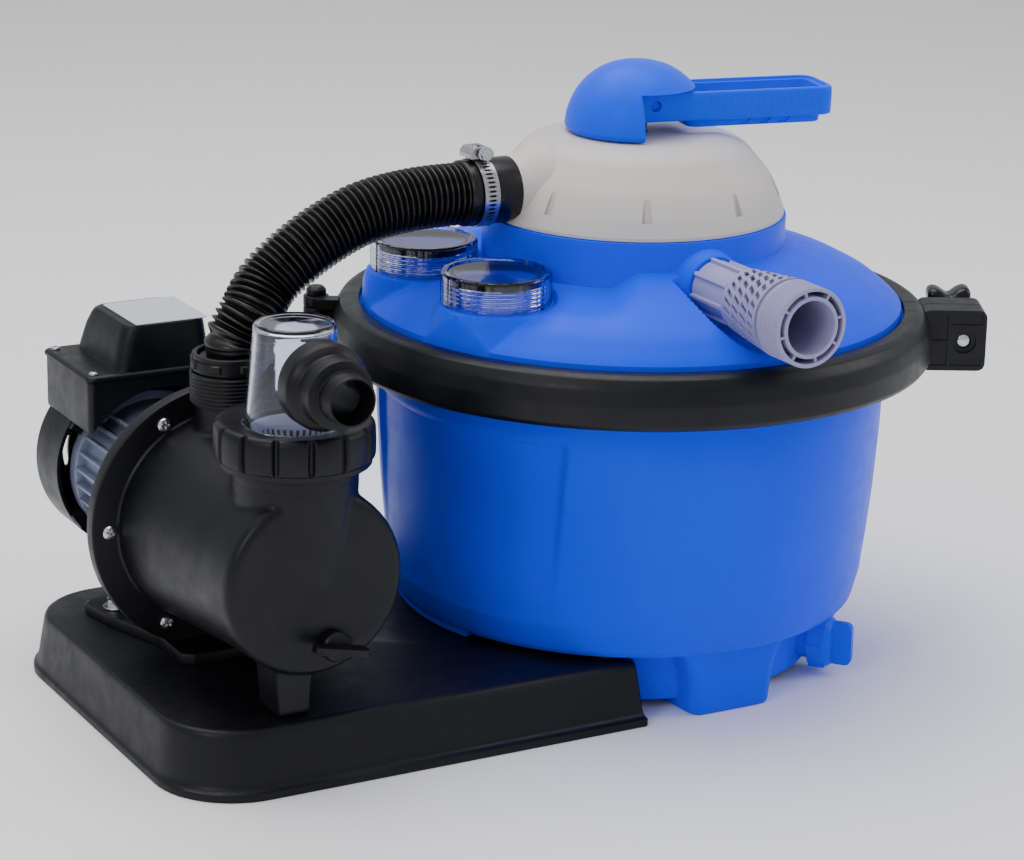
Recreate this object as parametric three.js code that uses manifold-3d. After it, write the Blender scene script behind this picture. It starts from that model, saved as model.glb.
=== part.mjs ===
// Sand filter unit for a small pool: tank with a clamped lid and a multiport valve, a self-priming
// pump on a tray, and the corrugated hose that joins them. Millimetres, +Z up.
// Local layout while modelling: tank axis on X0 Y0, floor at Z0, pump to the -X side.
import * as THREE from "three";
import { mergeVertices } from "three/addons/utils/BufferGeometryUtils.js";
import Module from "manifold-3d";

// ---------- driving dimensions ----------
const GAP = 0.3; // clearance between touching pieces
const TRAY = { x0: -445, y0: -167, y1: 186, cornerX: -74, h: 48.7, draft: 12, round: 62, wall: 4,
  cutR: 155 };
const BARREL = [[181.4, 56.6], [186.4, 76.5], [190.1, 110], [193.1, 143], [196, 192], [197, 240]];
const SKIRT_R = 150;
const FOOT = { w: 70, reach: 167, angles: [-90, 20, 90] };
const DRAIN = { a: -50, z: 25, neck: 167 };
const RING = { r: 232, z0: 243.4, z1: 282.4, lipR: 218, lip: 5.5 };
const SPLIT = -28; // direction of the clamp's split line
const LUG = { r0: 222, r1: 274, z0: 233, z1: 281, t: 20.5, boltR: 257, boltZ: 256 };
const HINGE = { r: 243.5, boss: 10 };
const COLLAR = { r: 116.5, z: 353.4 };
const CAP = { x: -151, y: 58, r: 41, z0: 309, z1: 333, neckR: 35 };
const DOME = { r: 114.7, z: 353.7, top: 413.8 };
const INLET_Z = 378.6;
const HANDLE = { r: 55, z0: 415, top: 468.3, aim: -11 };
const LEVER = { end: 157, w: 25, z0: 427, z1: 446.5, pinR: 6, pinZ: 437 };
const OUTLET = { x: -6, z: 321.5, y0: -128, len: 127.5, r: 29.3 };
const PUMP = { x: -342.3, z: 150.3, face: -156, faceR: 67.7, flange: 10.9, flangeR: 100.8, screwR: 88 };
const STRAINER = { y: -119, neckR: 45, nutR: 57, nutZ0: 230, nutZ1: 261, lidTop: 331 };
const PORT = { y: -9, r: 25, top: 283 };
const SUCTION = { z: 297, y1: -211, r: 17.3, hub: 24.5, flange: 31 };
const MOTOR = { r: 62, y0: 35.3, y1: 158, fan0: 150, fan1: 214, fanR: 71 };
const BOX = { x0: -403, x1: -284, y0: 114, y1: 207, z0: 191, z1: 236, top: 271.5 };
const HOSE = { od: 47, id: 38 };
const SEG = 32; // facets round the big turned pieces

// ---------- geometry helpers ----------
const wasm = await Module();
wasm.setup();
const rad = THREE.MathUtils.degToRad;
const polar = (r, deg, z = 0) => new THREE.Vector3(r * Math.cos(rad(deg)), r * Math.sin(rad(deg)), z);

function manifoldOf(geo) {
  const tri = Uint32Array.from(geo.index.array);
  const vertProperties = Float32Array.from(geo.getAttribute("position").array);
  const m = new wasm.Manifold(new wasm.Mesh({ numProp: 3, vertProperties, triVerts: tri }));
  if (m.volume() >= 0) return m;
  for (let i = 0; i < tri.length; i += 3) [tri[i + 1], tri[i + 2]] = [tri[i + 2], tri[i + 1]];
  return new wasm.Manifold(new wasm.Mesh({ numProp: 3, vertProperties, triVerts: tri }));
}
function geometryOf(m) {
  const g = m.getMesh(), to = Uint32Array.from({ length: g.numVert }, (_, i) => i);
  (g.mergeFromVert || []).forEach((v, i) => (to[v] = g.mergeToVert[i]));
  return new THREE.BufferGeometry()
    .setAttribute("position", new THREE.BufferAttribute(Float32Array.from(g.vertProperties), 3))
    .setIndex(new THREE.BufferAttribute(Uint32Array.from(g.triVerts, (v) => to[v]), 1));
}
const join = (...geos) => geometryOf(geos.flat().map(manifoldOf).reduce((a, b) => a.add(b)));
const cut = (geo, ...tools) => geometryOf(tools.flat().map(manifoldOf).reduce((a, b) => a.subtract(b),
  manifoldOf(geo)));
const common = (a, b) => geometryOf(manifoldOf(a).intersect(manifoldOf(b)));
function move(geo, x = 0, y = 0, z = 0, rx = 0, ry = 0, rz = 0) {
  const q = new THREE.Quaternion().setFromEuler(new THREE.Euler(rad(rx), rad(ry), rad(rz), "ZYX"));
  return geo.clone().applyMatrix4(new THREE.Matrix4().compose(new THREE.Vector3(x, y, z), q,
    new THREE.Vector3(1, 1, 1)));
}
const indexed = (pos, idx) => new THREE.BufferGeometry()
  .setAttribute("position", new THREE.Float32BufferAttribute(pos, 3))
  .setIndex(idx);
// Surface of revolution about Z. points are [r, z]; a profile off the axis is closed on itself.
function lathe(points, seg = 48) {
  const closed = points[0][0] !== 0, pos = [], rows = [], idx = [];
  for (const [r, z] of points) {
    const row = [];
    for (let i = 0; i < (r === 0 ? 1 : seg); i++) {
      const t = (2 * Math.PI * i) / seg;
      row.push(pos.length / 3);
      pos.push(r * Math.cos(t), r * Math.sin(t), z);
    }
    rows.push(row);
  }
  for (let k = 0; k < rows.length - (closed ? 0 : 1); k++) {
    const a = rows[k], b = rows[(k + 1) % rows.length];
    for (let i = 0; i < seg; i++) {
      const j = (i + 1) % seg;
      if (a.length > 1) idx.push(a[i], a[j], b.length > 1 ? b[j] : b[0]);
      if (b.length > 1) idx.push(a.length > 1 ? a[i] : a[0], b[j], b[i]);
    }
  }
  return indexed(pos, idx);
}
const rod = (r, z0, z1, seg = 20) => lathe([[0, z0], [r, z0], [r, z1], [0, z1]], seg);
const tube = (r0, r1, z0, z1, seg = 24) => lathe([[r0, z0], [r1, z0], [r1, z1], [r0, z1]], seg);
const alongY = (geo, x, z) => move(geo, x, 0, z, -90, 0, 0); // turns +Z into +Y
// Prism between two outlines of equal point count.
function loft(low, z0, high, z1) {
  const v2 = (o) => o.map(([x, y]) => new THREE.Vector2(x, y));
  if (THREE.ShapeUtils.area(v2(low)) < 0) [low, high] = [[...low].reverse(), [...high].reverse()];
  const n = low.length, pos = [], idx = [];
  low.forEach(([x, y]) => pos.push(x, y, z0));
  high.forEach(([x, y]) => pos.push(x, y, z1));
  for (let i = 0; i < n; i++) {
    const j = (i + 1) % n;
    idx.push(i, j, n + j, i, n + j, n + i);
  }
  THREE.ShapeUtils.triangulateShape(v2(low), []).forEach(([a, b, c]) => idx.push(a, c, b));
  THREE.ShapeUtils.triangulateShape(v2(high), []).forEach(([a, b, c]) => idx.push(n + a, n + b, n + c));
  return indexed(pos, idx);
}
const prism = (outline, z0, z1) => loft(outline, z0, outline, z1);
const box = (x0, x1, y0, y1, z0, z1) => prism([[x0, y0], [x1, y0], [x1, y1], [x0, y1]], z0, z1);
// Rectangle outline with rounded corners, anticlockwise.
function roundRect(x0, x1, y0, y1, r, steps = 4) {
  const out = [];
  [[x1 - r, y1 - r, 0], [x0 + r, y1 - r, 90], [x0 + r, y0 + r, 180],
    [x1 - r, y0 + r, 270]].forEach(([cx, cy, a]) => {
    for (let i = 0; i <= steps; i++) {
      const t = rad(a + (90 * i) / steps);
      out.push([cx + r * Math.cos(t), cy + r * Math.sin(t)]);
    }
  });
  return out;
}
const roundBox = (x0, x1, y0, y1, z0, z1, r, steps = 4) => prism(roundRect(x0, x1, y0, y1, r, steps), z0,
  z1);
// Round bar along a smooth curve.
function sweep(points, r, sides, steps) {
  const path = new THREE.CatmullRomCurve3(points.map((p) => new THREE.Vector3(...p)), false, "centripetal");
  const circle = new THREE.Shape().absarc(0, 0, r, 0, 2 * Math.PI);
  const bar = new THREE.ExtrudeGeometry(circle, { steps, bevelEnabled: false, extrudePath: path,
    curveSegments: sides / 2 });
  const bare = new THREE.BufferGeometry().setAttribute("position", bar.getAttribute("position"));
  const whole = mergeVertices(bare, 1e-3), src = Array.from(whole.index.array), idx = [];
  for (let i = 0; i < src.length; i += 3) {
    const [a, b, c] = src.slice(i, i + 3);
    if (a !== b && b !== c && a !== c) idx.push(a, b, c);
  }
  return whole.setIndex(idx);
}

// ---------- assembly ----------
const unit = new THREE.Group();
unit.name = "sand_filter_unit";
const blue = "#0a6bff", black = "#17181b", grey = "#d4d2cb", clear = "#cfd8e6", steel = "#b9bcc2";
function add(name, geometry, color, parent = unit) {
  const mesh = new THREE.Mesh(geometry, new THREE.MeshStandardMaterial({ color }));
  mesh.name = name;
  parent.add(mesh);
  return mesh;
}

// --- tray ---
function trayOutline(inset) {
  const { x0, y0, y1, cornerX, round, cutR } = TRAY;
  const [l, f, b] = [x0 + inset * 0.5, y0 + inset, y1 - inset];
  const out = [];
  const arc = (cx, cy, r, a0, a1, n) => {
    for (let i = 0; i <= n; i++) {
      const t = rad(a0 + ((a1 - a0) * i) / n);
      out.push([cx + r * Math.cos(t), cy + r * Math.sin(t)]);
    }
  };
  const r = round - inset * 0.4;
  arc(l + r, f + r, r, 180, 270, 6);
  const R = cutR + inset * 0.3, endX = cornerX - inset * 0.35;
  out.push([endX, f]);
  arc(0, 0, R, 360 - THREE.MathUtils.radToDeg(Math.acos(endX / R)), 140, 12);
  const rightX = R * Math.cos(rad(140));
  arc(rightX - 10, b - 10, 10, 0, 90, 2);
  arc(l + r, b - r, r, 90, 180, 6);
  return out;
}
{
  const body = loft(trayOutline(5), 6, trayOutline(TRAY.draft + 3), TRAY.h);
  const lip = prism(trayOutline(0), 0, 6.5);
  const hollow = loft(trayOutline(10), -1, trayOutline(TRAY.draft + 8), TRAY.h - TRAY.wall);
  add("base_tray", cut(join(lip, body), hollow), black);
}

// --- tank ---
{
  const outer = [[0, 56.5], [146, 51], [146, 8], [SKIRT_R, 8], [SKIRT_R + 2, 49.4], [172, 51.5],
    ...BARREL.slice(0, 5)];
  const rim = [[197, 243], [205, 249.4], [216.5, 249.4], [216.5, 259.6], [193, 259.6]];
  const inner = [[191.5, 200], [185, 110], [172, 62], [0, 62]];
  let tank = lathe([...outer, ...rim, ...inner], SEG);
  // A shallow recessed panel on the pump side of the barrel.
  const shellBand = tube(194, 240, 82, 219, SEG);
  const sector = prism([[0, 0], [polar(300, 222).x, polar(300, 222).y],
    [polar(300, 203).x, polar(300, 203).y],
    [polar(300, 190).x, polar(300, 190).y]], 0, 300);
  tank = cut(tank, common(shellBand, sector));
  const feet = FOOT.angles.map((a) => {
    const f = loft([[120, -FOOT.w / 2], [FOOT.reach, -FOOT.w / 2], [FOOT.reach, FOOT.w / 2],
      [120, FOOT.w / 2]], 0,
      [[120, -FOOT.w / 2 - 9], [FOOT.reach + 2, -FOOT.w / 2 - 9], [FOOT.reach + 2, FOOT.w / 2 + 9],
        [120, FOOT.w / 2 + 9]], 54);
    return move(f, 0, 0, 0, 0, 0, a);
  });
  // Pad that rests on the tray.
  const pad = common(tube(162, 180, TRAY.h + GAP, 60, SEG),
    prism([[0, 0], polar(300, 198).toArray().slice(0, 2),
    polar(300, 162).toArray().slice(0, 2)].map((p) => [p[0], p[1]]).reverse(), 0, 90));
  tank = join(tank, ...feet, pad);
  // Drain neck.
  tank = join(tank, move(rod(15, 147, DRAIN.neck, 14), 0, 0, DRAIN.z, 0, 90, DRAIN.a));
  tank = cut(tank, move(rod(8, 120, 180, 12), 0, 0, DRAIN.z, 0, 90, DRAIN.a));
  add("tank_shell", tank, blue);
}
// --- drain cap ---
{
  const at = new THREE.Group();
  at.position.set(0, 0, DRAIN.z);
  at.rotation.set(0, Math.PI / 2, 0);
  const turn = new THREE.Group();
  turn.rotation.set(0, 0, rad(DRAIN.a));
  turn.add(at);
  unit.add(turn);
  const n = DRAIN.neck;
  const cup = lathe([[0, n + 3.5], [7.6, n + 3.5], [7.6, n + 0.4], [15.3, n + 0.4], [15.3, n - 9],
    [20, n - 9],
    [20, n + 8], [0, n + 8]], 16);
  const wing = box(-17, 17, -3.5, 3.5, n + 7, n + 23);
  const grips = [30, 90, 150, 210, 270, 330].map((a) => move(box(18.5, 21.3, -2.2, 2.2, n - 9, n + 8), 0,
    0, 0, 0, 0, a));
  add("tank_drain_cap", join(cup, wing, ...grips), blue, at);
}

// --- lid ---
{
  const outside = [[216.5, 265.4], [216.5, 276.2], [208.5, 277], [207.8, 285.3], [189.3, 301.5],
    [165.8, 313.5],
    [127, 327], [COLLAR.r + 1, 332], [COLLAR.r, COLLAR.z]];
  const inside = [[108.5, COLLAR.z], [108.5, 336], [102, 336], [102, 326], [125, 320], [184, 296],
    [200, 281],
    [202, 265.4]];
  let lid = lathe([...outside, ...inside], SEG);
  for (const s of [1, -1]) {
    const at = (g) => move(g, CAP.x, s * CAP.y, 0);
    lid = cut(lid, at(rod(CAP.r + 2.5, CAP.z0 - 0.6, 360, 18)));
    const boss = common(at(rod(CAP.r + 1.6, 280, CAP.z0 - 0.6, 18)), rod(206, 284, 345, SEG));
    lid = join(lid, cut(boss, lathe([[0, 270], [199, 270], [199, 281], [183, 296], [158, 306.5],
      [0, 306.5]], SEG)),
      at(tube(31, CAP.neckR, CAP.z0 - 8, CAP.z1 - 8, 18)));
    lid = cut(lid, at(rod(31, 270, 340, 18)));
  }
  // Outlet spout at the head of a valley pressed into the cone.
  const { x, y0, z } = OUTLET;
  const cone = lathe([[0, 284], [200, 284], [207.8, 285.3], [189.3, 301.5], [165.8, 313.5], [127, 327],
    [0, 327]], SEG);
  lid = join(lid, common(cone, alongY(rod(33, -200, -112, 16), x, z)));
  lid = cut(lid, alongY(rod(29.3, -240, y0 + 6, 16), x, z));
  const spout = alongY(lathe([[0, y0], [22.6, y0], [24, y0 + 4], [25.5, y0 + 10], [25.5, -90], [0, -90]],
    14), x, z);
  lid = join(lid, cut(spout, rod(108.5, 280, 360, SEG)));
  lid = cut(lid, alongY(rod(17.8, -180, -90, 12), x, z));
  add("tank_lid", lid, blue);
}
add("lid_seal", tube(205, 211, 259.9, 265.1, 28), "#2b2b2d");

// --- sight caps: a clear screw cap over a flat gasket on each neck ---
for (const [name, s] of [["front", -1], ["rear", 1]]) {
  const at = new THREE.Group();
  at.position.set(CAP.x, s * CAP.y, 0);
  unit.add(at);
  const cap = lathe([[0, CAP.z1 - 3], [CAP.neckR + 1, CAP.z1 - 3], [CAP.neckR + 1, CAP.z0 + 0.2],
    [CAP.r, CAP.z0 + 0.2],
    [CAP.r, CAP.z1 - 1.5], [CAP.r - 1.5, CAP.z1], [0, CAP.z1]], 24);
  add("sight_cap_" + name, cap, clear, at);
  add("sight_gasket_" + name, tube(31.5, 34.5, CAP.z1 - 7.7, CAP.z1 - 3.3, 24), "#3a3a3c", at);
}

// --- clamp ring: two C-section halves on a hinge ---
function ringHalf(from, to) {
  const { r, z0, z1, lipR, lip } = RING;
  const web = r - 9;
  const sec = [[lipR - 6, z0], [r - 3, z0], [r, z0 + 4], [r - 0.5, z0 + 20], [r - 3, z1 - 8],
    [r - 8, z1 - 1.5], [r - 12, z1],
    [lipR - 8, z1], [lipR - 8, z1 - 4.8], [web, z1 - lip], [web, z0 + lip], [lipR - 6, z0 + lip]];
  const full = lathe(sec, SEG);
  const n = 6, pts = [[0, 0]];
  for (let i = 0; i <= n; i++) {
    const p = polar(400, from + ((to - from) * i) / n);
    pts.push([p.x, p.y]);
  }
  return common(full, prism(pts, 200, 320));
}
const lugFrame = (geo) => move(geo, 0, 0, 0, 0, 0, SPLIT); // local X = outward, local -Y = front half
const knuckle = (z0, z1) => lugFrame(move(rod(HINGE.boss, z0, z1, 20), -HINGE.r, 0, 0));
{
  const slit = 0.15; // degrees off the split line on each side
  const lugBox = (s) => {
    const y0 = s > 0 ? 0.7 : -LUG.t, y1 = s > 0 ? LUG.t : -0.7;
    const g = move(prism(roundRect(LUG.r0, LUG.r1, -LUG.z1, -LUG.z0, 6, 3), y0, y1), 0, 0, 0, -90, 0, 0);
    return g;
  };
  const bolt = (r, y0, y1) => move(rod(r, y0, y1, 16), LUG.boltR, 0, LUG.boltZ, -90, 0, 0);
  const barrelClear = lathe([[0, 200], [RING.r - 9, 200], [RING.r - 9, 320], [0, 320]], SEG);
  const arm = (s) => (s > 0 ? box(-HINGE.r, -222, 0.7, 16, 264, 274) : box(-HINGE.r, -222, -16, -0.7, 252,
    259));
  // Front half: lug with a recess round the bolt hole, outer knuckles.
  let front = ringHalf(SPLIT - 180 + slit, SPLIT - slit);
  let lug = cut(lugBox(-1), bolt(5.8, -40, 40), bolt(9, -40, -LUG.t + 3));
  lug = cut(lug, box(LUG.r1 - 41, LUG.r1 - 23, -40, -LUG.t + 2, LUG.z0 + 5, LUG.z1 - 5));
  front = join(front, lugFrame(cut(lug, barrelClear)));
  const knFront = [lugFrame(cut(box(-HINGE.r, -222, -16, -0.7, 249, 258.7), barrelClear)),
    lugFrame(cut(box(-HINGE.r, -222, -16, -0.7, 272.3, 281), barrelClear)), knuckle(249, 258.7),
      knuckle(272.3, 281)];
  front = join(front, ...knFront);
  front = cut(front, lugFrame(move(rod(4.3, 240, 290, 12), -HINGE.r, 0, 0)),
    lugFrame(move(rod(HINGE.boss + 1, 258.7, 272.3, 20), -HINGE.r, 0, 0)));
  add("clamp_ring_front", front, black);
  // Rear half: plain lug, middle knuckle.
  let rear = ringHalf(SPLIT + slit, SPLIT + 180 - slit);
  rear = join(rear, lugFrame(cut(cut(lugBox(1), bolt(5.8, -60, 60)), barrelClear)));
  rear = join(rear, lugFrame(cut(box(-HINGE.r, -222, 0.7, 16, 259, 272), barrelClear)), knuckle(259, 272));
  rear = cut(rear, lugFrame(move(rod(4.3, 240, 290, 12), -HINGE.r, 0, 0)),
    lugFrame(move(rod(HINGE.boss + 1, 240, 258.7, 20), -HINGE.r, 0, 0)),
    lugFrame(move(rod(HINGE.boss + 1, 272.3, 290, 20), -HINGE.r, 0, 0)));
  add("clamp_ring_rear", rear, black);
  add("clamp_hinge_pin", lugFrame(move(lathe([[0, 247], [4, 247], [4, 281.3], [7.8, 281.3], [7.8, 285.5],
    [5.5, 288], [0, 288]], 16), -HINGE.r, 0, 0)), black);
}
// --- clamp screw: star knob with its stud, and the sleeve under it ---
{
  const at = new THREE.Group();
  const p = polar(LUG.boltR, SPLIT, LUG.boltZ);
  at.position.copy(p);
  at.rotation.set(-Math.PI / 2, 0, rad(SPLIT), "ZYX"); // local +Z points away from the front
  unit.add(at);
  const star = [];
  for (let i = 0; i < 30; i++) {
    const t = (2 * Math.PI * i) / 30, r = 21.5 + 4.3 * Math.cos(5 * (t - rad(20)));
    star.push([r * Math.cos(t), -r * Math.sin(t)]);
  }
  const grip = prism(star.reverse(), 60, 78);
  const knob = join(grip, rod(13, 56.5, 61, 20), rod(15, 77, 82, 20));
  add("clamp_knob", join(knob, rod(5, -17, 60, 14)), black, at);
  add("clamp_sleeve", tube(5.8, 10, LUG.t + GAP, 56.2, 18), black, at);
}

// --- multiport valve: grey dome on the collar, rotor, spring, handle ---
{
  const chamber = [[103.5, 356], [104, 366], [94, 385], [79, 400], [60, 407.5], [0, 407.5]];
  const outer = [[0, DOME.top], [61, DOME.top], [73, 410.6], [84, 405.8], [103.5, 383.5], [110.5, 368.5],
    [DOME.r, DOME.z], [107.6, DOME.z], [107.6, 345], [103.5, 345]];
  let dome = lathe([...outer, ...chamber], 28);
  const neck = move(tube(18, 23.8, 60, 128, 16), 0, 0, INLET_Z, 0, -90, 0);
  const bore = move(rod(18, 60, 140, 16), 0, 0, INLET_Z, 0, -90, 0);
  const flare = move(lathe([[0, 88], [32, 88], [25.5, 106.5], [0, 106.5]], 16), 0, 0, INLET_Z, 0, -90, 0);
  const insideClear = lathe([[0, 340], [103.5, 340], ...chamber], 28);
  dome = join(dome, cut(join(neck, flare), insideClear));
  dome = cut(dome, bore, rod(9, 400, 420, 20));
  add("valve_dome", dome, grey);
}
const aimed = new THREE.Group();
aimed.rotation.z = rad(HANDLE.aim);
unit.add(aimed);
{
  const { z0, top } = HANDLE;
  let cap = lathe([[0, z0], [HANDLE.r - 2, z0], [HANDLE.r, z0 + 4], [54, 427], [51, 437], [45.5, 447],
    [37, 456.5],
    [25, 464], [12, 467.6], [0, top]], 24);
  const slot = box(-21, 70, -60, 60, z0 - 1, 449);
  const back = lathe([[0, z0 - 1], [49, z0 - 1], [49, 426], [44, 439], [36, 449], [0, 449]], 20);
  const halfBack = common(back, box(-60, -23.5, -60, 60, 400, 460));
  cap = cut(cap, slot, halfBack);
  add("valve_handle_dome", cap, blue, aimed);
  const { end, w } = LEVER;
  const loop = prism(roundRect(-16, end, -w, w, 11, 4), LEVER.z0, LEVER.z1);
  const skirt = prism(roundRect(34, end - 10, -w + 5, w - 5, 8, 3), 418.5, LEVER.z0 + 1);
  const hole = prism(roundRect(36, end - 8, -w + 7.5, w - 7.5, 7, 4), 400, 460);
  const shaftClear = box(-30, 27, -12, 12, 400, 460);
  let lever = cut(join(loop, skirt), hole, shaftClear);
  lever = cut(lever, prism(roundRect(40, end - 17, -w + 10.5, w - 10.5, 4, 3), 400, 425),
    move(rod(4.3, -70, 70, 14), LEVER.pinR, 0, LEVER.pinZ, 90, 0, 0));
  const ribs = [];
  for (const x of [52, 74, 96, 118]) ribs.push(box(x, x + 5, -w - 1.4, -w + 2, LEVER.z0 + 3, LEVER.z1 - 2),
    box(x, x + 5, w - 2, w + 1.4, LEVER.z0 + 3, LEVER.z1 - 2));
  add("valve_lever", join(lever, ...ribs), blue, aimed);
  add("lever_pin", move(rod(4, -23, 23, 12), LEVER.pinR, 0, LEVER.pinZ, 90, 0, 0), steel, aimed);
  // Rotor: shaft with a slotted eye, diverter disc with one pie-shaped port.
  let rotor = join(rod(8, 352, 444, 18), lathe([[0, 346], [92, 346], [92, 354], [22, 356], [22, 360],
    [0, 360]], 28));
  const pie = prism([[0, 0], ...[-22, -11, 0, 11, 22].map((a) => [polar(84, a).x, polar(84, a).y])], 340,
    362);
  rotor = cut(rotor, common(pie, tube(34, 84, 340, 362, 28)));
  rotor = cut(rotor, box(LEVER.pinR - 4.4, 20, -12, 12, LEVER.pinZ - 6.5, LEVER.pinZ + 4.4));
  add("valve_rotor", rotor, grey, aimed);
  const coil = [];
  const turns = 4.25, n = 34;
  for (let i = 0; i <= n; i++) {
    const t = (2 * Math.PI * turns * i) / n;
    coil.push([15 * Math.cos(t), 15 * Math.sin(t), 363 + (41 * i) / n]);
  }
  add("valve_spring", sweep(coil, 2, 6, 38), steel, aimed);
}
// Spider gasket plate: a ring and a hub with spokes on the collar's step.
{
  const spokes = [0, 60, 120, 180, 240, 300].map((a) => move(box(10, 99, -4, 4, 339, 344.4), 0, 0, 0, 0,
    0, a));
  add("valve_seat", join(tube(96, 107.6, 336.3, 344.4, 28), rod(16, 339, 344.4, 20), ...spokes), "#3b3d40");
}

// --- outlet adaptor: sleeve, ribbed socket, cone and threaded mouth with an inner tube ---
{
  const { x, z, y0, len, r } = OUTLET;
  const body = lathe([[14, 14], [14, -25], [17, -43], [19.7, -65], [19.7, -len], [22.6, -len],
    [22.6, 15.5 - len],
    [26.3, 15.5 - len], [26.3, -len], [r, -len], [r, 27 - len], [r - 1.8, 30 - len], [21.6, -46],
      [20.3, -43],
    [20.3, -GAP], [17.1, -GAP], [17.1, 14]], 18);
  const ribs = [], spokes = [];
  for (let i = 0; i < 8; i++) {
    ribs.push(move(box(19, 22.8, -1.8, 1.8, -43, -1), 0, 0, 0, 0, 0, i * 45 + 10));
    spokes.push(move(box(22, 27, -1, 1, -len, 16 - len), 0, 0, 0, 0, 0, i * 45 + 12));
  }
  add("outlet_adaptor", alongY(join(body, ...ribs, ...spokes).translate(0, 0, y0), x, z), "#a9abc0");
}

// --- hose with its cuff and clamp ---
{
  const z = INLET_Z, y = PORT.y, endX = PUMP.x + 5;
  const route = [[-116, 0, z], [-150, 0, z], [-192, 0, z - 0.8], [-232, -0.5, z - 7], [-262, -1, z - 19],
    [-289, -2, z - 34.5], [-311, -3, z - 52], [-326, y, z - 70], [endX - 1.5 + 5, y, z - 82],
      [endX, y, z - 89],
    [endX, y, PORT.top + 1]];
  const skin = sweep(route, HOSE.od / 2, 14, 18);
  const bore = sweep([[-100, 0, z], ...route.slice(1, -1), [endX, y, PORT.top - 8]], HOSE.id / 2 + 0.2,
    10, 18);
  // The cuff slips over the valve's inlet neck and is cut back to the dome behind it.
  const along = (g) => move(g, 0, 0, z, 0, -90, 0);
  const domeClear = lathe([[0, 340], [COLLAR.r + 0.4, 340], [COLLAR.r + 0.4, COLLAR.z + 0.4],
    [DOME.r + 0.4, COLLAR.z + 0.5],
    [114.2, 360.3], [111, 369], [104, 384], [95.5, 395.6], [84, 406.4], [0, 406.5]], 28);
  let hose = join(skin, along(rod(24.8, 108.2, 151, 20)));
  hose = cut(hose, bore, along(rod(24.1, 100, 129, 16)), along(rod(HOSE.id / 2 + 0.2, 100, 152, 14)),
    domeClear);
  add("hose", hose, black);
  add("hose_clamp_band", along(tube(25.2, 26.2, 131, 143.5, 24)), steel);
  // Worm housing on top of the band, its screw across it.
  const worm = z + 30.8;
  const house = box(-147, -127.5, -8, 10, z + 26.6, z + 34.8);
  const bite = move(rod(3.6, -16, 20, 14), -137.2, 0, worm, 90, 0, 0);
  add("hose_clamp_housing", cut(house, bite), steel);
  const screw = join(rod(3.2, -14, 12, 12), rod(4.5, 10.6, 16.5, 6));
  add("hose_clamp_screw", move(screw, -137.2, 0, worm, 90, 0, 0), steel);
}

// --- pump casing ---
const onPump = (geo) => alongY(geo, PUMP.x, PUMP.z);
{
  const f = PUMP.face;
  const hull = lathe([[0, f], [PUMP.faceR - 5, f], [PUMP.faceR - 1, f + 2.5], [PUMP.faceR, f + 7],
    [69.5, -110],
    [77.5, -24], [81.5, PUMP.flange], [PUMP.flangeR, PUMP.flange], [PUMP.flangeR, PUMP.flange + 11],
    [0, PUMP.flange + 11]], 28);
  const neck = move(lathe([[0, 150], [STRAINER.neckR + 2, 150], [STRAINER.neckR, 222],
    [STRAINER.neckR, 234],
    [STRAINER.neckR - 3, 234.2], [STRAINER.neckR - 3, 252], [0, 252]], 20), PUMP.x, STRAINER.y, 0);
  const port = move(lathe([[0, 180], [PORT.r, 180], [PORT.r, 243], [29.5, 245], [29.5, 268.5],
    [22, 268.5], [22, 279],
    [0, 279]], 18), PUMP.x, PORT.y, 0);
  const tail = move(rod(17.4, 270, 289, 14), PUMP.x + 5, PORT.y, 0);
  const column = box(-366.5, -340.5, -143, -108, TRAY.h + GAP, 100);
  let casing = join(onPump(hull), neck, port, tail, column);
  const pot = onPump(rod(58, f + 6, -46, 20));
  const potUp = move(rod(STRAINER.neckR - 8, 150, 260, 20), PUMP.x, STRAINER.y, 0);
  const volute = onPump(rod(73, -34, PUMP.flange + 12, 24));
  const eye = onPump(rod(15, -50, -30, 16));
  const portBore = join(move(rod(16, 190, 278, 16), PUMP.x, PORT.y, 0),
    move(rod(14.4, 270, 300, 14), PUMP.x + 5, PORT.y, 0));
  casing = cut(casing, pot, potUp, volute, eye, portBore, box(-430, -260, 5, 40, 40, TRAY.h + 9.4));
  const drain = alongY(rod(6.4, f - 2, f + 8, 14), PUMP.x + 12, PUMP.z - 46);
  casing = cut(casing, drain);
  for (let i = 0; i < 6; i++) casing = cut(casing, onPump(move(rod(3.4, PUMP.flange - 1, PUMP.flange + 12,
    6),
    PUMP.screwR * Math.cos(rad(60 * i)), PUMP.screwR * Math.sin(rad(60 * i)), 0)));
  add("pump_casing", casing, black);
  // Drain plug with a wing.
  const plug = join(rod(6, -7, 8, 14), lathe([[0, -8.5], [9.5, -8.5], [11, -6.5], [11, -0.3], [0, -0.3]],
    18), box(-21, 21, -2.6, 2.6, -20, -8));
  const pg = new THREE.Group();
  pg.position.set(PUMP.x + 12, PUMP.face, PUMP.z - 46);
  pg.rotation.set(-Math.PI / 2, 0, 0);
  unit.add(pg);
  add("pump_drain_plug", move(plug, 0, 0, 0, 0, 0, 12), black, pg);
}
// Port collar: a hexagon-topped nut that holds the hose tail.
{
  const nut = join(tube(23.8, 27.5, 268.9, 282, 12), tube(23.8, 30, 272, 278, 12));
  add("port_collar", move(nut, PUMP.x, PORT.y, 0), black);
}
// Flange screws.
for (let i = 0; i < 6; i++) {
  const a = rad(60 * i), R = PUMP.screwR;
  const s = join(rod(2.6, PUMP.flange - 0.5, PUMP.flange + 19, 8),
    rod(5.4, PUMP.flange - 3.6, PUMP.flange - GAP, 10));
  add("flange_screw_" + (i + 1), alongY(s, PUMP.x + R * Math.cos(a), PUMP.z - R * Math.sin(a)), steel);
}
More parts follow.
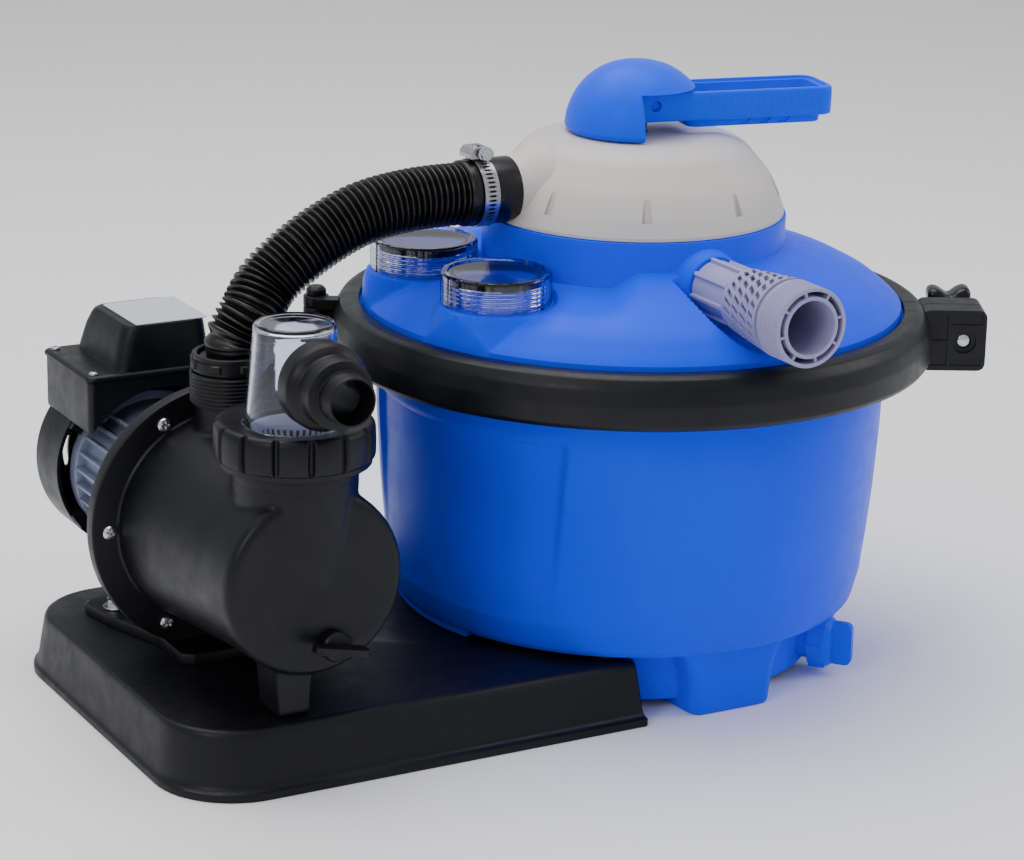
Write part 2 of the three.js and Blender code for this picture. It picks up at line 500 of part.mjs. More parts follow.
// --- strainer: basket, seal, clear lid, ribbed ring nut, suction nozzle ---
{
  const at = new THREE.Group();
  at.position.set(PUMP.x, STRAINER.y, 0);
  unit.add(at);
  const { neckR, nutR, nutZ0, nutZ1, lidTop } = STRAINER;
  const basket = cut(lathe([[0, 106], [29, 106], [34, 248], [36, 249], [36, 252.3], [41, 252.3],
    [41, 254.5], [33, 254.5],
    [31, 248], [27, 109], [0, 109]], 20), ...[0, 45, 90, 135].map((a) => move(box(-50, 50, -2.5, 2.5, 125,
      160), 0, 0, 0, 0, 0,
    a)));
  add("strainer_basket", basket, "#e6e9ee", at);
  add("strainer_seal", tube(41.3, neckR - 0.2, 252.3, 254.9, 20), "#2b2b2d", at);
  let lid = cut(lathe([[0, 255.2], [44.6, 255.2], [44.6, 257.4], [36, 258.6], [35, 263], [29, lidTop - 3],
    [27, lidTop],
    [0, lidTop]], 24), lathe([[0, 250], [32.5, 250], [32, 263], [26, lidTop - 3], [0, lidTop - 3]], 20));
  lid = cut(lid, move(rod(15.5, -60, 0, 20), 0, 0, SUCTION.z, -90, 0, 0));
  add("strainer_lid", lid, clear, at);
  const ring = [];
  const teeth = 14, per = 4;
  for (let i = 0; i < teeth * per; i++) {
    const k = i % per, r = k < 2 ? nutR : nutR - 3.2;
    const t = (2 * Math.PI * i) / (teeth * per);
    ring.push([r * Math.cos(t), r * Math.sin(t)]);
  }
  let nut = join(prism(ring, nutZ0 + 4, nutZ1), lathe([[0, nutZ0], [nutR - 6, nutZ0],
    [nutR - 2.6, nutZ0 + 4.5],
    [0, nutZ0 + 4.5]], 28));
  nut = cut(nut, rod(neckR + 0.5, nutZ0 - 1, 259, 24), rod(37, 250, nutZ1 + 1, 20));
  add("strainer_nut", nut, black, at);
  const n = SUCTION;
  const nozzle = lathe([[12.6, n.y1], [n.r, n.y1], [n.r + 0.7, n.y1 + 16], [n.hub, n.y1 + 18],
    [n.hub, n.y1 + 33], [n.flange - 2, n.y1 + 37],
    [n.flange, n.y1 + 40], [n.flange, n.y1 + 54], [12.6, n.y1 + 54]], 20);
  const stub = tube(12.6, 15, n.y1 + 53, -148.5, 20);
  add("suction_elbow", alongY(join(nozzle, stub), 0, n.z).translate(0, -STRAINER.y, 0), black, at);
}

// --- motor ---
{
  const back = PUMP.flange + 11 + GAP;
  const bracketRing = lathe([[0, back], [97, back], [97, back + 9], [84, back + 12], [0, back + 12]], 24);
  const foot = [[-409, 118], [-404, 84], [-386, 26], [-386, -14], [-378, -21], [-306, -21], [-298, -14],
    [-298, 26],
    [-280, 84], [-275, 118], [-280, 124], [-404, 124]];
  const plate = prism(foot, TRAY.h + GAP, TRAY.h + 9);
  const web = box(PUMP.x - 34, PUMP.x + 34, back + 1, back + 10.5, TRAY.h + 5, 90);
  const saddle = box(PUMP.x - 30, PUMP.x + 30, 70, 112, TRAY.h + 5, PUMP.z - MOTOR.r + 3);
  let bracket = join(onPump(bracketRing), plate, web, saddle);
  bracket = cut(bracket, onPump(rod(MOTOR.r + GAP, back + 12, 200, 24)), onPump(rod(10.3, 10, 50, 16)));
  for (let i = 0; i < 6; i++) {
    const a = rad(60 * i), R = PUMP.screwR;
    bracket = cut(bracket, alongY(rod(3.4, back - 1, back + 9.5, 6), PUMP.x + R * Math.cos(a),
      PUMP.z - R * Math.sin(a)));
  }
  for (const x of [-391, -293.6]) bracket = cut(bracket, move(rod(4.3, 40, 70, 12), x, 98, 0));
  add("motor_bracket", bracket, black);
  // Foot bolts.
  [-391, -293.6].forEach((x, i) => add("foot_bolt_" + (i + 1),
    move(join(rod(4, TRAY.h + 0.6, TRAY.h + 10, 12),
    rod(10, TRAY.h + 9.3, TRAY.h + 11, 16), rod(7.4, TRAY.h + 10.5, TRAY.h + 16.5, 6)), x, 98, 0), steel));
  // Finned stator frame, open at both ends.
  const y0 = back + 12 + GAP, y1 = MOTOR.y1 - 6;
  const fins = [];
  for (let i = 0; i < 16; i++) {
    const a = i * 22.5 + 11.25;
    if (a > 235 && a < 305) continue; // flat seat for the terminal box
    if (a > 60 && a < 120) continue; // saddle on the foot
    fins.push(move(box(MOTOR.r - 8, MOTOR.r - 0.4, -1.3, 1.3, y0 + 6, y1 - 6), 0, 0, 0, 0, 0, a));
  }
  let frame = join(lathe([[50, y0], [MOTOR.r - 1, y0], [MOTOR.r - 1, y0 + 7], [MOTOR.r - 6, y0 + 8],
    [MOTOR.r - 6, y1 - 8],
    [MOTOR.r - 1, y1 - 7], [MOTOR.r - 1, y1], [50, y1]], 24), ...fins);
  frame = onPump(frame);
  frame = join(frame, cut(box(PUMP.x - 40, PUMP.x + 40, BOX.y0 + 4, y1 - 1, PUMP.z + 40, BOX.z0 - GAP),
    onPump(rod(55, 30, 210, 40))));
  const shield = lathe([[20.4, y1 - 14], [26, y1 - 14], [30, y1 - 3], [54, y1 - 3], [MOTOR.r - 1, y1 - 1],
    [MOTOR.r - 1, y1 + 6], [20.4, y1 + 4]], 24);
  frame = join(frame, onPump(shield));
  add("motor_frame", frame, "#8f959d");
  add("stator_core", onPump(tube(30, 49.6, y0 + 18, y1 - 18, 24)), "#7a5a38");
  add("front_bearing", onPump(tube(9.4, 20, back + 12.6, back + 24, 20)), steel);
  add("rear_bearing", onPump(tube(9.4, 20, y1 - 14, y1 - 3, 20)), steel);
  // Shaft line.
  const shaft = lathe([[0, -22], [5, -22], [5, 0], [9, 4], [9, 195], [0, 195]], 18);
  add("motor_shaft", onPump(shaft), steel);
  add("rotor_core", onPump(tube(9.4, 29, y0 + 16, y1 - 16, 20)), "#6d7075");
  let imp = lathe([[5.4, -30], [13, -30], [13, -22], [64, -14], [64, -12], [14, -4], [5.4, -4]], 24);
  const vanes = [0, 72, 144, 216, 288].map((a) => move(box(16, 63, -1.4, 1.4, -26, -13), 0, 0, 0, 0, 0, a));
  imp = join(imp, ...vanes);
  imp = cut(imp, rod(5.4, -40, 10, 14));
  add("impeller", onPump(imp), black);
  const fan = join(tube(9.4, 16, 170, 190, 18), ...[0, 72, 144, 216, 288].map((a) => move(
    box(14, 58, -1.1, 1.1, 171, 188), 0, 0, 0, 0, 0, a)), tube(14, 58, 169.5, 171.5, 20));
  add("cooling_fan", onPump(fan), black);
  // Fan cover with a slotted end.
  const fc = MOTOR;
  let cover = cut(lathe([[0, y1 + 7], [fc.fanR, y1 + 7], [fc.fanR, fc.fan1 - 10], [fc.fanR - 7, fc.fan1],
    [0, fc.fan1]], 24),
    lathe([[0, y1], [fc.fanR - 3, y1], [fc.fanR - 3, fc.fan1 - 11.6], [fc.fanR - 8.6, fc.fan1 - 3],
      [0, fc.fan1 - 3]], 24));
  const legs = [35, 145, 215, 325].map((a) => move(box(MOTOR.r - 0.6, fc.fanR - 0.5, -6, 6, y1 + 0.6,
    y1 + 14), 0, 0, 0, 0, 0, a));
  const bars = [0, 45, 90, 135].map((a) => move(box(-60, 60, -3, 3, fc.fan1 - 8, fc.fan1 + 4), 0, 0, 0, 0,
    0, a));
  const slots = cut(tube(30, 46, fc.fan1 - 6, fc.fan1 + 2, 16), ...bars);
  cover = cut(join(cover, ...legs), slots);
  add("fan_cover", onPump(cover), black);
}
// --- terminal box ---
{
  const { x0, x1, y0, y1, z0, z1, top } = BOX;
  const arch = (g) => cut(g, onPump(rod(MOTOR.fanR + GAP + 0.7, 100, 230, 28)));
  let low = roundBox(x0, x1, y0, y1, z0, z1 - 4, 5, 3);
  low = cut(low, roundBox(x0 + 3, x1 - 3, y0 + 3, y1 - 3, z0 + 32, z1, 4, 2));
  add("terminal_box", arch(low), black);
  const plate = roundBox(x0 - 1.5, x1 + 1.5, y0 - 1.5, y1 + 1.5, z1 - 4 + GAP, z1 + 1, 6, 3);
  const hump = loft(roundRect(x0 + 24, x1 - 18, y0 + 1, y1 - 3, 12, 4), z1,
    roundRect(x0 + 33, x1 - 21, y0 + 3, y1 - 14, 14, 4), top);
  add("terminal_lid", join(plate, hump), black);
  const screws = [[x0 + 6, y0 + 6], [x1 - 6, y0 + 6], [x0 + 6, y1 - 8], [x1 - 6, y1 - 8]];
  screws.forEach(([x, y], i) => add("box_screw_" + (i + 1),
    move(rod(3.6, z1 + 1.3, z1 + 3.4, 12), x, y, 0), steel));
  add("rating_plate", roundBox(-363, -304, 118, 186, top + GAP, top + 1, 3, 2), "#c9cbd2");
  const gland = join(rod(9.5, 0.3, 7, 6), rod(11, 6, 14, 14), rod(7.5, 13, 20, 14));
  add("cable_gland", move(cut(gland, rod(4.2, 5, 30, 12)), x1 - 17, y1, 220.5, -90, 0, 0), black);
}

// ---------- frame: origin under the middle of the whole unit ----------
const root = new THREE.Group();
root.name = "pump_sand_filter";
root.add(unit);
unit.updateMatrixWorld(true);
const extent = new THREE.Box3().setFromObject(unit, true);
unit.position.set(-(extent.min.x + extent.max.x) / 2, -(extent.min.y + extent.max.y) / 2, -extent.min.z);
export default root;
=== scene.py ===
"""Looks for the pool sand filter with its pump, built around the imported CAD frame.
Shapes are written in millimetres in the CAD's local layout: tank axis on x 0, y 0, floor at z 0,
pump on the -x side, outlet towards -y. mesh_of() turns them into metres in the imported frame."""
import math

import bpy
import bmesh
import numpy as np
from mathutils import Matrix, Vector


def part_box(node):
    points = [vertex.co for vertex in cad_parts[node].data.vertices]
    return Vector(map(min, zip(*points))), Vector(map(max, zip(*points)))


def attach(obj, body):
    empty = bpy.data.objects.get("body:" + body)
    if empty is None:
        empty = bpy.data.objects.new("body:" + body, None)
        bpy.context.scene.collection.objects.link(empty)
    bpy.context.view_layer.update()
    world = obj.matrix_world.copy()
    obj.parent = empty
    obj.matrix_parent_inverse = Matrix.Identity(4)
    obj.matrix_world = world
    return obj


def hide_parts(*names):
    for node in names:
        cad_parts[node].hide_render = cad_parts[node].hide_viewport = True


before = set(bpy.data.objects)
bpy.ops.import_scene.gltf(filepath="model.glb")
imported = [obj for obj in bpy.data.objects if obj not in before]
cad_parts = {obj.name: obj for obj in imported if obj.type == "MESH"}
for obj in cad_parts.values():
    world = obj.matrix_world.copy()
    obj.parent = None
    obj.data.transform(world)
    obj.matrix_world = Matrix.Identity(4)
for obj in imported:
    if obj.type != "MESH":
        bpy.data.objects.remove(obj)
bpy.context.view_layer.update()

# ---------- where things are, from the CAD ----------
def middle(node):
    lo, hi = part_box(node)
    return [(lo[i] + hi[i]) * 500 for i in range(3)]


TANK = middle("lid_seal")  # the tank axis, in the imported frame
OFFSET = np.array([TANK[0], TANK[1], 0.0])
shaft = middle("motor_shaft")
PX, PZ = shaft[0] - OFFSET[0], shaft[2]  # pump axis, along y
STR_Y = middle("strainer_lid")[1] - OFFSET[1]  # strainer axis, along z
PORT_Y = middle("port_collar")[1] - OFFSET[1]  # discharge port axis, along z
OUT = middle("outlet_adaptor")
OUT_X, OUT_Z = OUT[0] - OFFSET[0], OUT[2]
OUT_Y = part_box("outlet_adaptor")[0][1] * 1000 - OFFSET[1]  # mouth face
CAP_X, CAP_Y = middle("sight_cap_rear")[0] - OFFSET[0], middle("sight_cap_rear")[1] - OFFSET[1]
TRAY_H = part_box("base_tray")[1][2] * 1000
AIM = -11  # lever direction, degrees
SPLIT = -28  # clamp split line, degrees
DRAIN = -50  # tank drain direction, degrees
HOSE_Z = 378.6  # axis of the valve's hose neck, along -x
HINGE_X = -243.5  # clamp hinge pin, in the split line's frame
BOLT_R, BOLT_Z = 257, 256  # clamp screw, in the split line's frame
FLANGE_R, FLANGE_SCREWS = 88, 6  # pump flange screws
PLUG_X, PLUG_Z = 12, -46  # drain plug from the pump's axis
FOOT_X, FOOT_Y = (-391, -293.6), 98  # bracket's foot bolts
BAND_X, BAND_RISE = -137.2, 30.8  # hose clamp's screw, above the neck's axis

# ---------- camera ----------
def add_camera():
    yaw, pitch, roll = map(math.radians, (29.1, 17.0, 1.14))
    fwd = Vector((math.sin(yaw) * math.cos(pitch), math.cos(yaw) * math.cos(pitch), -math.sin(pitch)))
    right = Vector((math.cos(yaw), -math.sin(yaw), 0))
    up = right.cross(fwd)
    r2 = right * math.cos(roll) + up * math.sin(roll)
    u2 = up * math.cos(roll) - right * math.sin(roll)
    cam = bpy.data.cameras.new("camera")
    cam.lens, cam.sensor_width, cam.clip_end = 112.5, 36, 50
    obj = bpy.data.objects.new("camera", cam)
    place = Matrix((r2, u2, -fwd)).transposed().to_4x4()
    place.translation = (Vector((-1245.1, -2051.8, 906.4)) + Vector(OFFSET)) / 1000
    obj.matrix_world = place
    bpy.context.scene.collection.objects.link(obj)
    bpy.context.scene.camera = obj


add_camera()

# ---------- shape helpers, in millimetres ----------
def rad(a):
    return math.radians(a)


def fillet(points, radius, n=4, closed=False):
    """The polyline with its corners rounded."""
    out = []
    count = len(points)
    for i, p in enumerate(points):
        r = radius[i] if isinstance(radius, (list, tuple)) else radius
        if (not closed and i in (0, count - 1)) or r <= 0:
            out.append(tuple(p))
            continue
        p = np.array(p, float)
        a, b = np.array(points[i - 1], float) - p, np.array(points[(i + 1) % count], float) - p
        la, lb = np.linalg.norm(a), np.linalg.norm(b)
        if la < 1e-6 or lb < 1e-6:
            out.append(tuple(p))
            continue
        a, b = a / la, b / lb
        half = math.acos(max(-1, min(1, float(a @ b)))) / 2
        if half > math.pi / 2 - 0.03:
            out.append(tuple(p))
            continue
        cut = min(r / math.tan(half), la * 0.48, lb * 0.48)
        for k in range(n + 1):
            t = k / n
            q = (1 - t) ** 2 * (p + a * cut) + 2 * t * (1 - t) * p + t * t * (p + b * cut)
            out.append(tuple(q))
    return out


def sheet_of(rows, wrap_u=True, wrap_v=False, caps=(False, False)):
    """Quads over rows of points (n, m, 3). A cap closes the first or last row with one face."""
    rows = np.asarray(rows, float)
    n, m = rows.shape[:2]
    faces = []
    for i in range(n if wrap_v else n - 1):
        k = (i + 1) % n
        for j in range(m if wrap_u else m - 1):
            q = (j + 1) % m
            faces.append((i * m + j, i * m + q, k * m + q, k * m + j))
    if caps[0]:
        faces.append(tuple(reversed(range(m))))
    if caps[1]:
        faces.append(tuple((n - 1) * m + j for j in range(m)))
    return rows.reshape(-1, 3), faces


def turned(profile, seg=96, shape=None, closed=None):
    """Surface of revolution about z from (r, z) points. shape(r, z, angle) may bend the rows."""
    prof = np.array(profile, float)
    closed = prof[0][0] > 1e-6 and prof[-1][0] > 1e-6 if closed is None else closed
    t = np.linspace(0, 2 * math.pi, seg, endpoint=False)
    rows = np.stack([np.outer(prof[:, 0], np.cos(t)), np.outer(prof[:, 0], np.sin(t)),
                     np.repeat(prof[:, 1:2], seg, 1)], axis=2)
    if shape is not None:
        r, z = shape(np.repeat(prof[:, :1], seg, 1), rows[:, :, 2], np.repeat(t[None, :], len(prof), 0))
        rows = np.stack([r * np.cos(t), r * np.sin(t), z], axis=2)
    return sheet_of(rows, wrap_v=closed)


def rod(r, z0, z1, seg=48, edge=0.6):
    e = min(edge, r * 0.4, abs(z1 - z0) * 0.4)
    return turned([(0, z0), (r - e, z0), (r - e * 0.3, z0 + e * 0.3), (r, z0 + e), (r, z1 - e),
                   (r - e * 0.3, z1 - e * 0.3), (r - e, z1), (0, z1)], seg)


def ring(r0, r1, z0, z1, seg=72, edge=0.5):
    return turned(fillet([(r0, z0), (r1, z0), (r1, z1), (r0, z1)], edge, 3, closed=True), seg, closed=True)


def round_rect(x0, x1, y0, y1, r, n=8):
    return fillet([(x1, y1), (x0, y1), (x0, y0), (x1, y0)], r, n, closed=True)


def hexagon(r, start=0):
    return [(r * math.cos(rad(60 * k + start)), r * math.sin(rad(60 * k + start))) for k in range(6)]


def slab(outline, z0, z1):
    low = [(x, y, z0) for x, y in outline]
    high = [(x, y, z1) for x, y in outline]
    return sheet_of([low, high], caps=(True, True))


def brick(x0, x1, y0, y1, z0, z1):
    return slab([(x0, y0), (x1, y0), (x1, y1), (x0, y1)], z0, z1)


def turn(part, rx=0, ry=0, rz=0, at=(0, 0, 0)):
    v, f = part
    m = Matrix.Translation(at)
    for angle, axis in ((rz, "Z"), (ry, "Y"), (rx, "X")):
        m = m @ Matrix.Rotation(rad(angle), 4, axis)
    m = np.array(m)
    return np.asarray(v, float) @ m[:3, :3].T + m[:3, 3], f


def along_y(part, x=0.0, z=0.0):
    """Turns a part built about z so that +z points along +y."""
    return turn(part, rx=-90, at=(x, 0, z))


def on_pump(part):
    return along_y(part, PX, PZ)


def on_port(part):
    return turn(part, at=(PX, PORT_Y, 0))


def on_sight(part, side):
    return turn(part, at=(CAP_X, side * CAP_Y, 0))


def radial(part, angle, z=0.0):
    """Turns a part built about z so that +z points outwards at that angle."""
    return turn(part, ry=90, rz=angle, at=(0, 0, z))


def around(part, count, start=0.0, skip=()):
    return [turn(part, rz=start + i * 360 / count) for i in range(count) if i not in skip]


def mesh_of(name, parts):
    verts, faces = [], []
    for v, f in parts:
        base = len(verts)
        verts.extend(map(tuple, (np.asarray(v, float) + OFFSET) / 1000))
        faces.extend(tuple(i + base for i in q) for q in f)
    mesh = bpy.data.meshes.new(name)
    mesh.from_pydata(verts, [], faces)
    bm = bmesh.new()
    bm.from_mesh(mesh)
    bmesh.ops.remove_doubles(bm, verts=bm.verts, dist=1e-6)
    bmesh.ops.dissolve_degenerate(bm, dist=1e-7, edges=bm.edges)
    bmesh.ops.recalc_face_normals(bm, faces=bm.faces)
    bm.to_mesh(mesh)
    bm.free()
    return mesh


def shade(mesh, angle=32):
    mesh.polygons.foreach_set("use_smooth", [True] * len(mesh.polygons))
    mesh.set_sharp_from_angle(angle=rad(angle))


def bare(name, parts):
    obj = bpy.data.objects.new(name, mesh_of(name, parts))
    bpy.context.scene.collection.objects.link(obj)
    return obj


def part_of(obj):
    """The mesh of a helper object as a part in local millimetres. The object is removed."""
    verts = np.array([w.co for w in obj.data.vertices]) * 1000 - OFFSET
    part = (verts, [tuple(q.vertices) for q in obj.data.polygons])
    bpy.data.objects.remove(obj)
    return part


def merge_into(obj, other):
    """Joins other's mesh to obj's, keeping obj."""
    for o in bpy.context.selected_objects:
        o.select_set(False)
    other.select_set(True)
    obj.select_set(True)
    bpy.context.view_layer.objects.active = obj
    bpy.ops.object.join()


def carve(obj, parts, how="DIFFERENCE"):
    """Cuts each closed part out of obj (or joins it), one at a time, and keeps the result as obj's mesh."""
    tools = []
    for part in parts:
        tool = bare("tool", [part])
        tools.append(tool)
        mod = obj.modifiers.new("carve", "BOOLEAN")
        mod.operation, mod.solver, mod.object = how, "EXACT", tool
    deps = bpy.context.evaluated_depsgraph_get()
    mesh = bpy.data.meshes.new_from_object(obj.evaluated_get(deps))
    obj.modifiers.clear()
    obj.data = mesh
    for tool in tools:
        bpy.data.objects.remove(tool)
    return obj


def finish_piece(obj, material, body, nodes=(), bevel=0.0, angle=32, segments=3):
    obj.data.materials.clear()
    obj.data.materials.append(material)
    if bevel:
        mod = obj.modifiers.new("soft_edges", "BEVEL")
        mod.width, mod.segments, mod.limit_method, mod.angle_limit = bevel / 1000, segments, "ANGLE", rad(28)
        mod.harden_normals = True
    shade(obj.data, angle)
    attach(obj, body)
    if nodes:
        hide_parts(*nodes)
    return obj


def make(name, parts, material, body, nodes=(), **look):
    return finish_piece(bare(name, parts), material, body, nodes, **look)


# ---------- materials ----------
def linear(r, g, b):
    """An sRGB colour of 0 to 255 as linear RGBA."""

    def channel(c):
        return c / 12.92 if c <= 0.04045 else ((c + 0.055) / 1.055) ** 2.4

    return (channel(r / 255), channel(g / 255), channel(b / 255), 1.0)


class Nodes:
    """A short way to write a node tree."""

    def __init__(self, name):
        self.mat = bpy.data.materials.new(name)
        self.mat.use_nodes = True
        self.tree = self.mat.node_tree
        self.bsdf = self.tree.nodes["Principled BSDF"]
        self.coord = self.add("ShaderNodeTexCoord").outputs["Object"]

    def add(self, kind, **inputs):
        node = self.tree.nodes.new(kind)
        for key, value in inputs.items():
            self.put(node.inputs[key.replace("_", " ")], value)
        return node

    def put(self, socket, value):
        if isinstance(value, bpy.types.NodeSocket):
            self.tree.links.new(value, socket)
        else:
            socket.default_value = value

    def noise(self, scale, detail=3.0, rough=0.5, stretch=None):
        vector = self.coord
        if stretch:
            mapping = self.add("ShaderNodeMapping", Vector=vector, Scale=stretch)
            vector = mapping.outputs[0]
        return self.add("ShaderNodeTexNoise", Vector=vector, Scale=scale, Detail=detail,
                        Roughness=rough).outputs[0]

    def span(self, value, low, high, a=0.35, b=0.65):
        node = self.add("ShaderNodeMapRange")
        for i, v in enumerate((value, a, b, low, high)):
            self.put(node.inputs[i], v)
        return node.outputs[0]

    def mix(self, factor, a, b):
        node = self.tree.nodes.new("ShaderNodeMix")
        node.data_type = "RGBA"
        self.put(node.inputs[0], factor)
        self.put(node.inputs[6], a)
        self.put(node.inputs[7], b)
        return node.outputs[2]

    def bump(self, height, strength, distance, under=None):
        node = self.add("ShaderNodeBump", Strength=strength, Distance=distance, Height=height)
        if under is not None:
            self.put(node.inputs["Normal"], under)
        return node.outputs[0]

    def set(self, **inputs):
        for key, value in inputs.items():
            self.put(self.bsdf.inputs[key.replace("_", " ")], value)
        return self.mat


def moulded(name, rgb, rough=(0.3, 0.4), grain=0.02, grain_scale=2200, wave=0.08, tint=0.12, specular=0.5,
            sheen=(1, 1, 1)):
    """Moulded plastic: slow cloudiness in the colour, fine grain, slight sink waves and uneven gloss."""
    n = Nodes(name)
    base = linear(*rgb)
    dark = tuple(c * (1 - tint) for c in base[:3]) + (1,)
    light = tuple(min(1, c * (1 + tint) + tint * 0.01) for c in base[:3]) + (1,)
    cloud = n.noise(9, 4, 0.55)
    fine = n.noise(grain_scale, 2, 0.6)
    slow = n.noise(26, 2, 0.4)
    scuff = n.noise(160, 5, 0.7, stretch=(1, 1, 0.35))
    gloss = n.span(n.noise(60, 5, 0.65), rough[0], rough[1])
    under = n.bump(slow, wave, 0.002)
    fine_bump = n.bump(fine, grain, 0.0004, under)
    n.set(Base_Color=n.mix(n.span(cloud, 0, 1), dark, light), Normal=fine_bump)
    add = n.add("ShaderNodeMath")
    n.put(add.inputs[0], gloss)
    n.put(add.inputs[1], n.span(scuff, 0, 0.05, 0.5, 0.9))
    return n.set(Roughness=add.outputs[0], Specular_IOR_Level=specular, Specular_Tint=(*sheen, 1))


def metal(name, rgb, rough=(0.18, 0.35), stretch=(1, 1, 1), scale=700, bump=0.05, tint=0.15, metallic=1.0):
    n = Nodes(name)
    base = linear(*rgb)
    dark = tuple(c * (1 - tint) for c in base[:3]) + (1,)
    brush = n.noise(scale, 3, 0.6, stretch=stretch)
    stain = n.noise(140, 5, 0.7)
    n.set(Base_Color=n.mix(n.span(stain, 0, 1), dark, base), Metallic=metallic,
          Roughness=n.span(brush, rough[0], rough[1]), Normal=n.bump(brush, bump, 0.0002))
    return n.mat


def clear(name, rgb, rough=(0.02, 0.07), bump=0.04):
    n = Nodes(name)
    smear = n.noise(45, 4, 0.6)
    n.set(Base_Color=linear(*rgb), Transmission_Weight=1.0, IOR=1.46,
          Roughness=n.span(smear, rough[0], rough[1]), Normal=n.bump(n.noise(70, 2, 0.5), bump, 0.001))
    return n.mat


SHEEN = (0.1, 0.45, 1)  # highlights on the blue plastic stay blue
BLUE = moulded("tank_blue", (0, 66, 255), rough=(0.36, 0.46), grain=0.05, grain_scale=1500, wave=0.12,
               tint=0.06, specular=0.22, sheen=SHEEN)
HANDLE_BLUE = moulded("handle_blue", (0, 76, 255), rough=(0.32, 0.42), grain=0.04, grain_scale=1800,
                      wave=0.1, tint=0.06, specular=0.25, sheen=SHEEN)
DOME_GREY = moulded("dome_grey", (202, 196, 192), rough=(0.4, 0.52), grain=0.05, grain_scale=1500,
                    wave=0.16, tint=0.03, specular=0.3)
ADAPTOR = moulded("adaptor_lavender", (150, 148, 186), rough=(0.38, 0.5), grain=0.05, tint=0.05,
                  specular=0.3)
BLACK = moulded("satin_black", (9, 10, 14), rough=(0.34, 0.46), grain=0.1, grain_scale=1300, wave=0.12,
                tint=0.2, specular=0.26)
RING_BLACK = moulded("ring_black", (12, 13, 17), rough=(0.34, 0.46), grain=0.08, grain_scale=1300,
                     wave=0.2, tint=0.2, specular=0.3)
TRAY_BLACK = moulded("tray_black", (9, 10, 15), rough=(0.38, 0.5), grain=0.22, grain_scale=900, wave=0.25,
                     tint=0.18, specular=0.26)
GLOSS_BLACK = moulded("gloss_black", (8, 8, 11), rough=(0.16, 0.26), grain=0.03, wave=0.1, tint=0.2,
                      specular=0.35)
HOSE_BLACK = moulded("hose_black", (7, 7, 10), rough=(0.24, 0.34), grain=0.05, wave=0.1, tint=0.25,
                     specular=0.4)
RUBBER = moulded("seal_rubber", (16, 16, 18), rough=(0.55, 0.7), grain=0.2, tint=0.2, specular=0.2)
BASKET = moulded("basket_plastic", (196, 202, 222), rough=(0.35, 0.5), tint=0.05)
SEAT = moulded("seat_plastic", (60, 60, 64), rough=(0.4, 0.55), tint=0.1)
LABEL = moulded("label_stock", (196, 197, 208), rough=(0.3, 0.42), grain=0.02, wave=0.03, tint=0.03)
CLEAR = clear("clear_plastic", (232, 236, 250))
ZINC = metal("zinc_screw", (205, 205, 210), rough=(0.16, 0.34))
BAND = metal("band_steel", (190, 188, 190), rough=(0.22, 0.4), stretch=(0.3, 1, 1))
ALLOY = metal("motor_alloy", (128, 136, 162), rough=(0.34, 0.5), scale=900, bump=0.12, metallic=0.55)
LAMINATE = metal("laminations", (120, 88, 60), rough=(0.4, 0.6), stretch=(1, 12, 1), scale=500, bump=0.2,
                 metallic=0.7)
SHAFT = metal("ground_shaft", (176, 178, 184), rough=(0.15, 0.28), stretch=(1, 0.1, 1))

# ---------- small modelling tools built on the helpers ----------
def soft(x, a, b):
    """Smooth step from 0 at a to 1 at b."""
    t = np.clip((x - a) / (b - a), 0, 1)
    return t * t * (3 - 2 * t)


def wrap(angle, centre):
    """Signed difference of angles in degrees, for arrays in radians."""
    return (np.degrees(angle) - centre + 180) % 360 - 180


def dense(points, step):
    """The polyline with extra points so that no stretch is longer than step."""
    out = [points[0]]
    for a, b in zip(points, points[1:]):
        n = max(1, int(math.ceil(math.dist(a, b) / step)))
        out += [tuple(np.array(a) + (np.array(b) - np.array(a)) * k / n) for k in range(1, n + 1)]
    return out


def sector(profile, a0, a1, seg=120):
    """Part of a closed profile's revolution, from a0 to a1 degrees, with flat ends."""
    prof = np.array(profile, float)
    t = np.radians(np.linspace(a0, a1, seg + 1))
    rows = np.stack([np.outer(np.cos(t), prof[:, 0]), np.outer(np.sin(t), prof[:, 0]),
                     np.repeat(prof[None, :, 1], seg + 1, 0)], axis=2)
    return sheet_of(rows, caps=(True, True))


def stack(outline_at, rows):
    """Closed solid through outlines: outline_at(key) gives points, rows holds (key, z)."""
    pts = [[(x, y, z) for x, y in outline_at(key)] for key, z in rows]
    return sheet_of(pts, caps=(True, True))


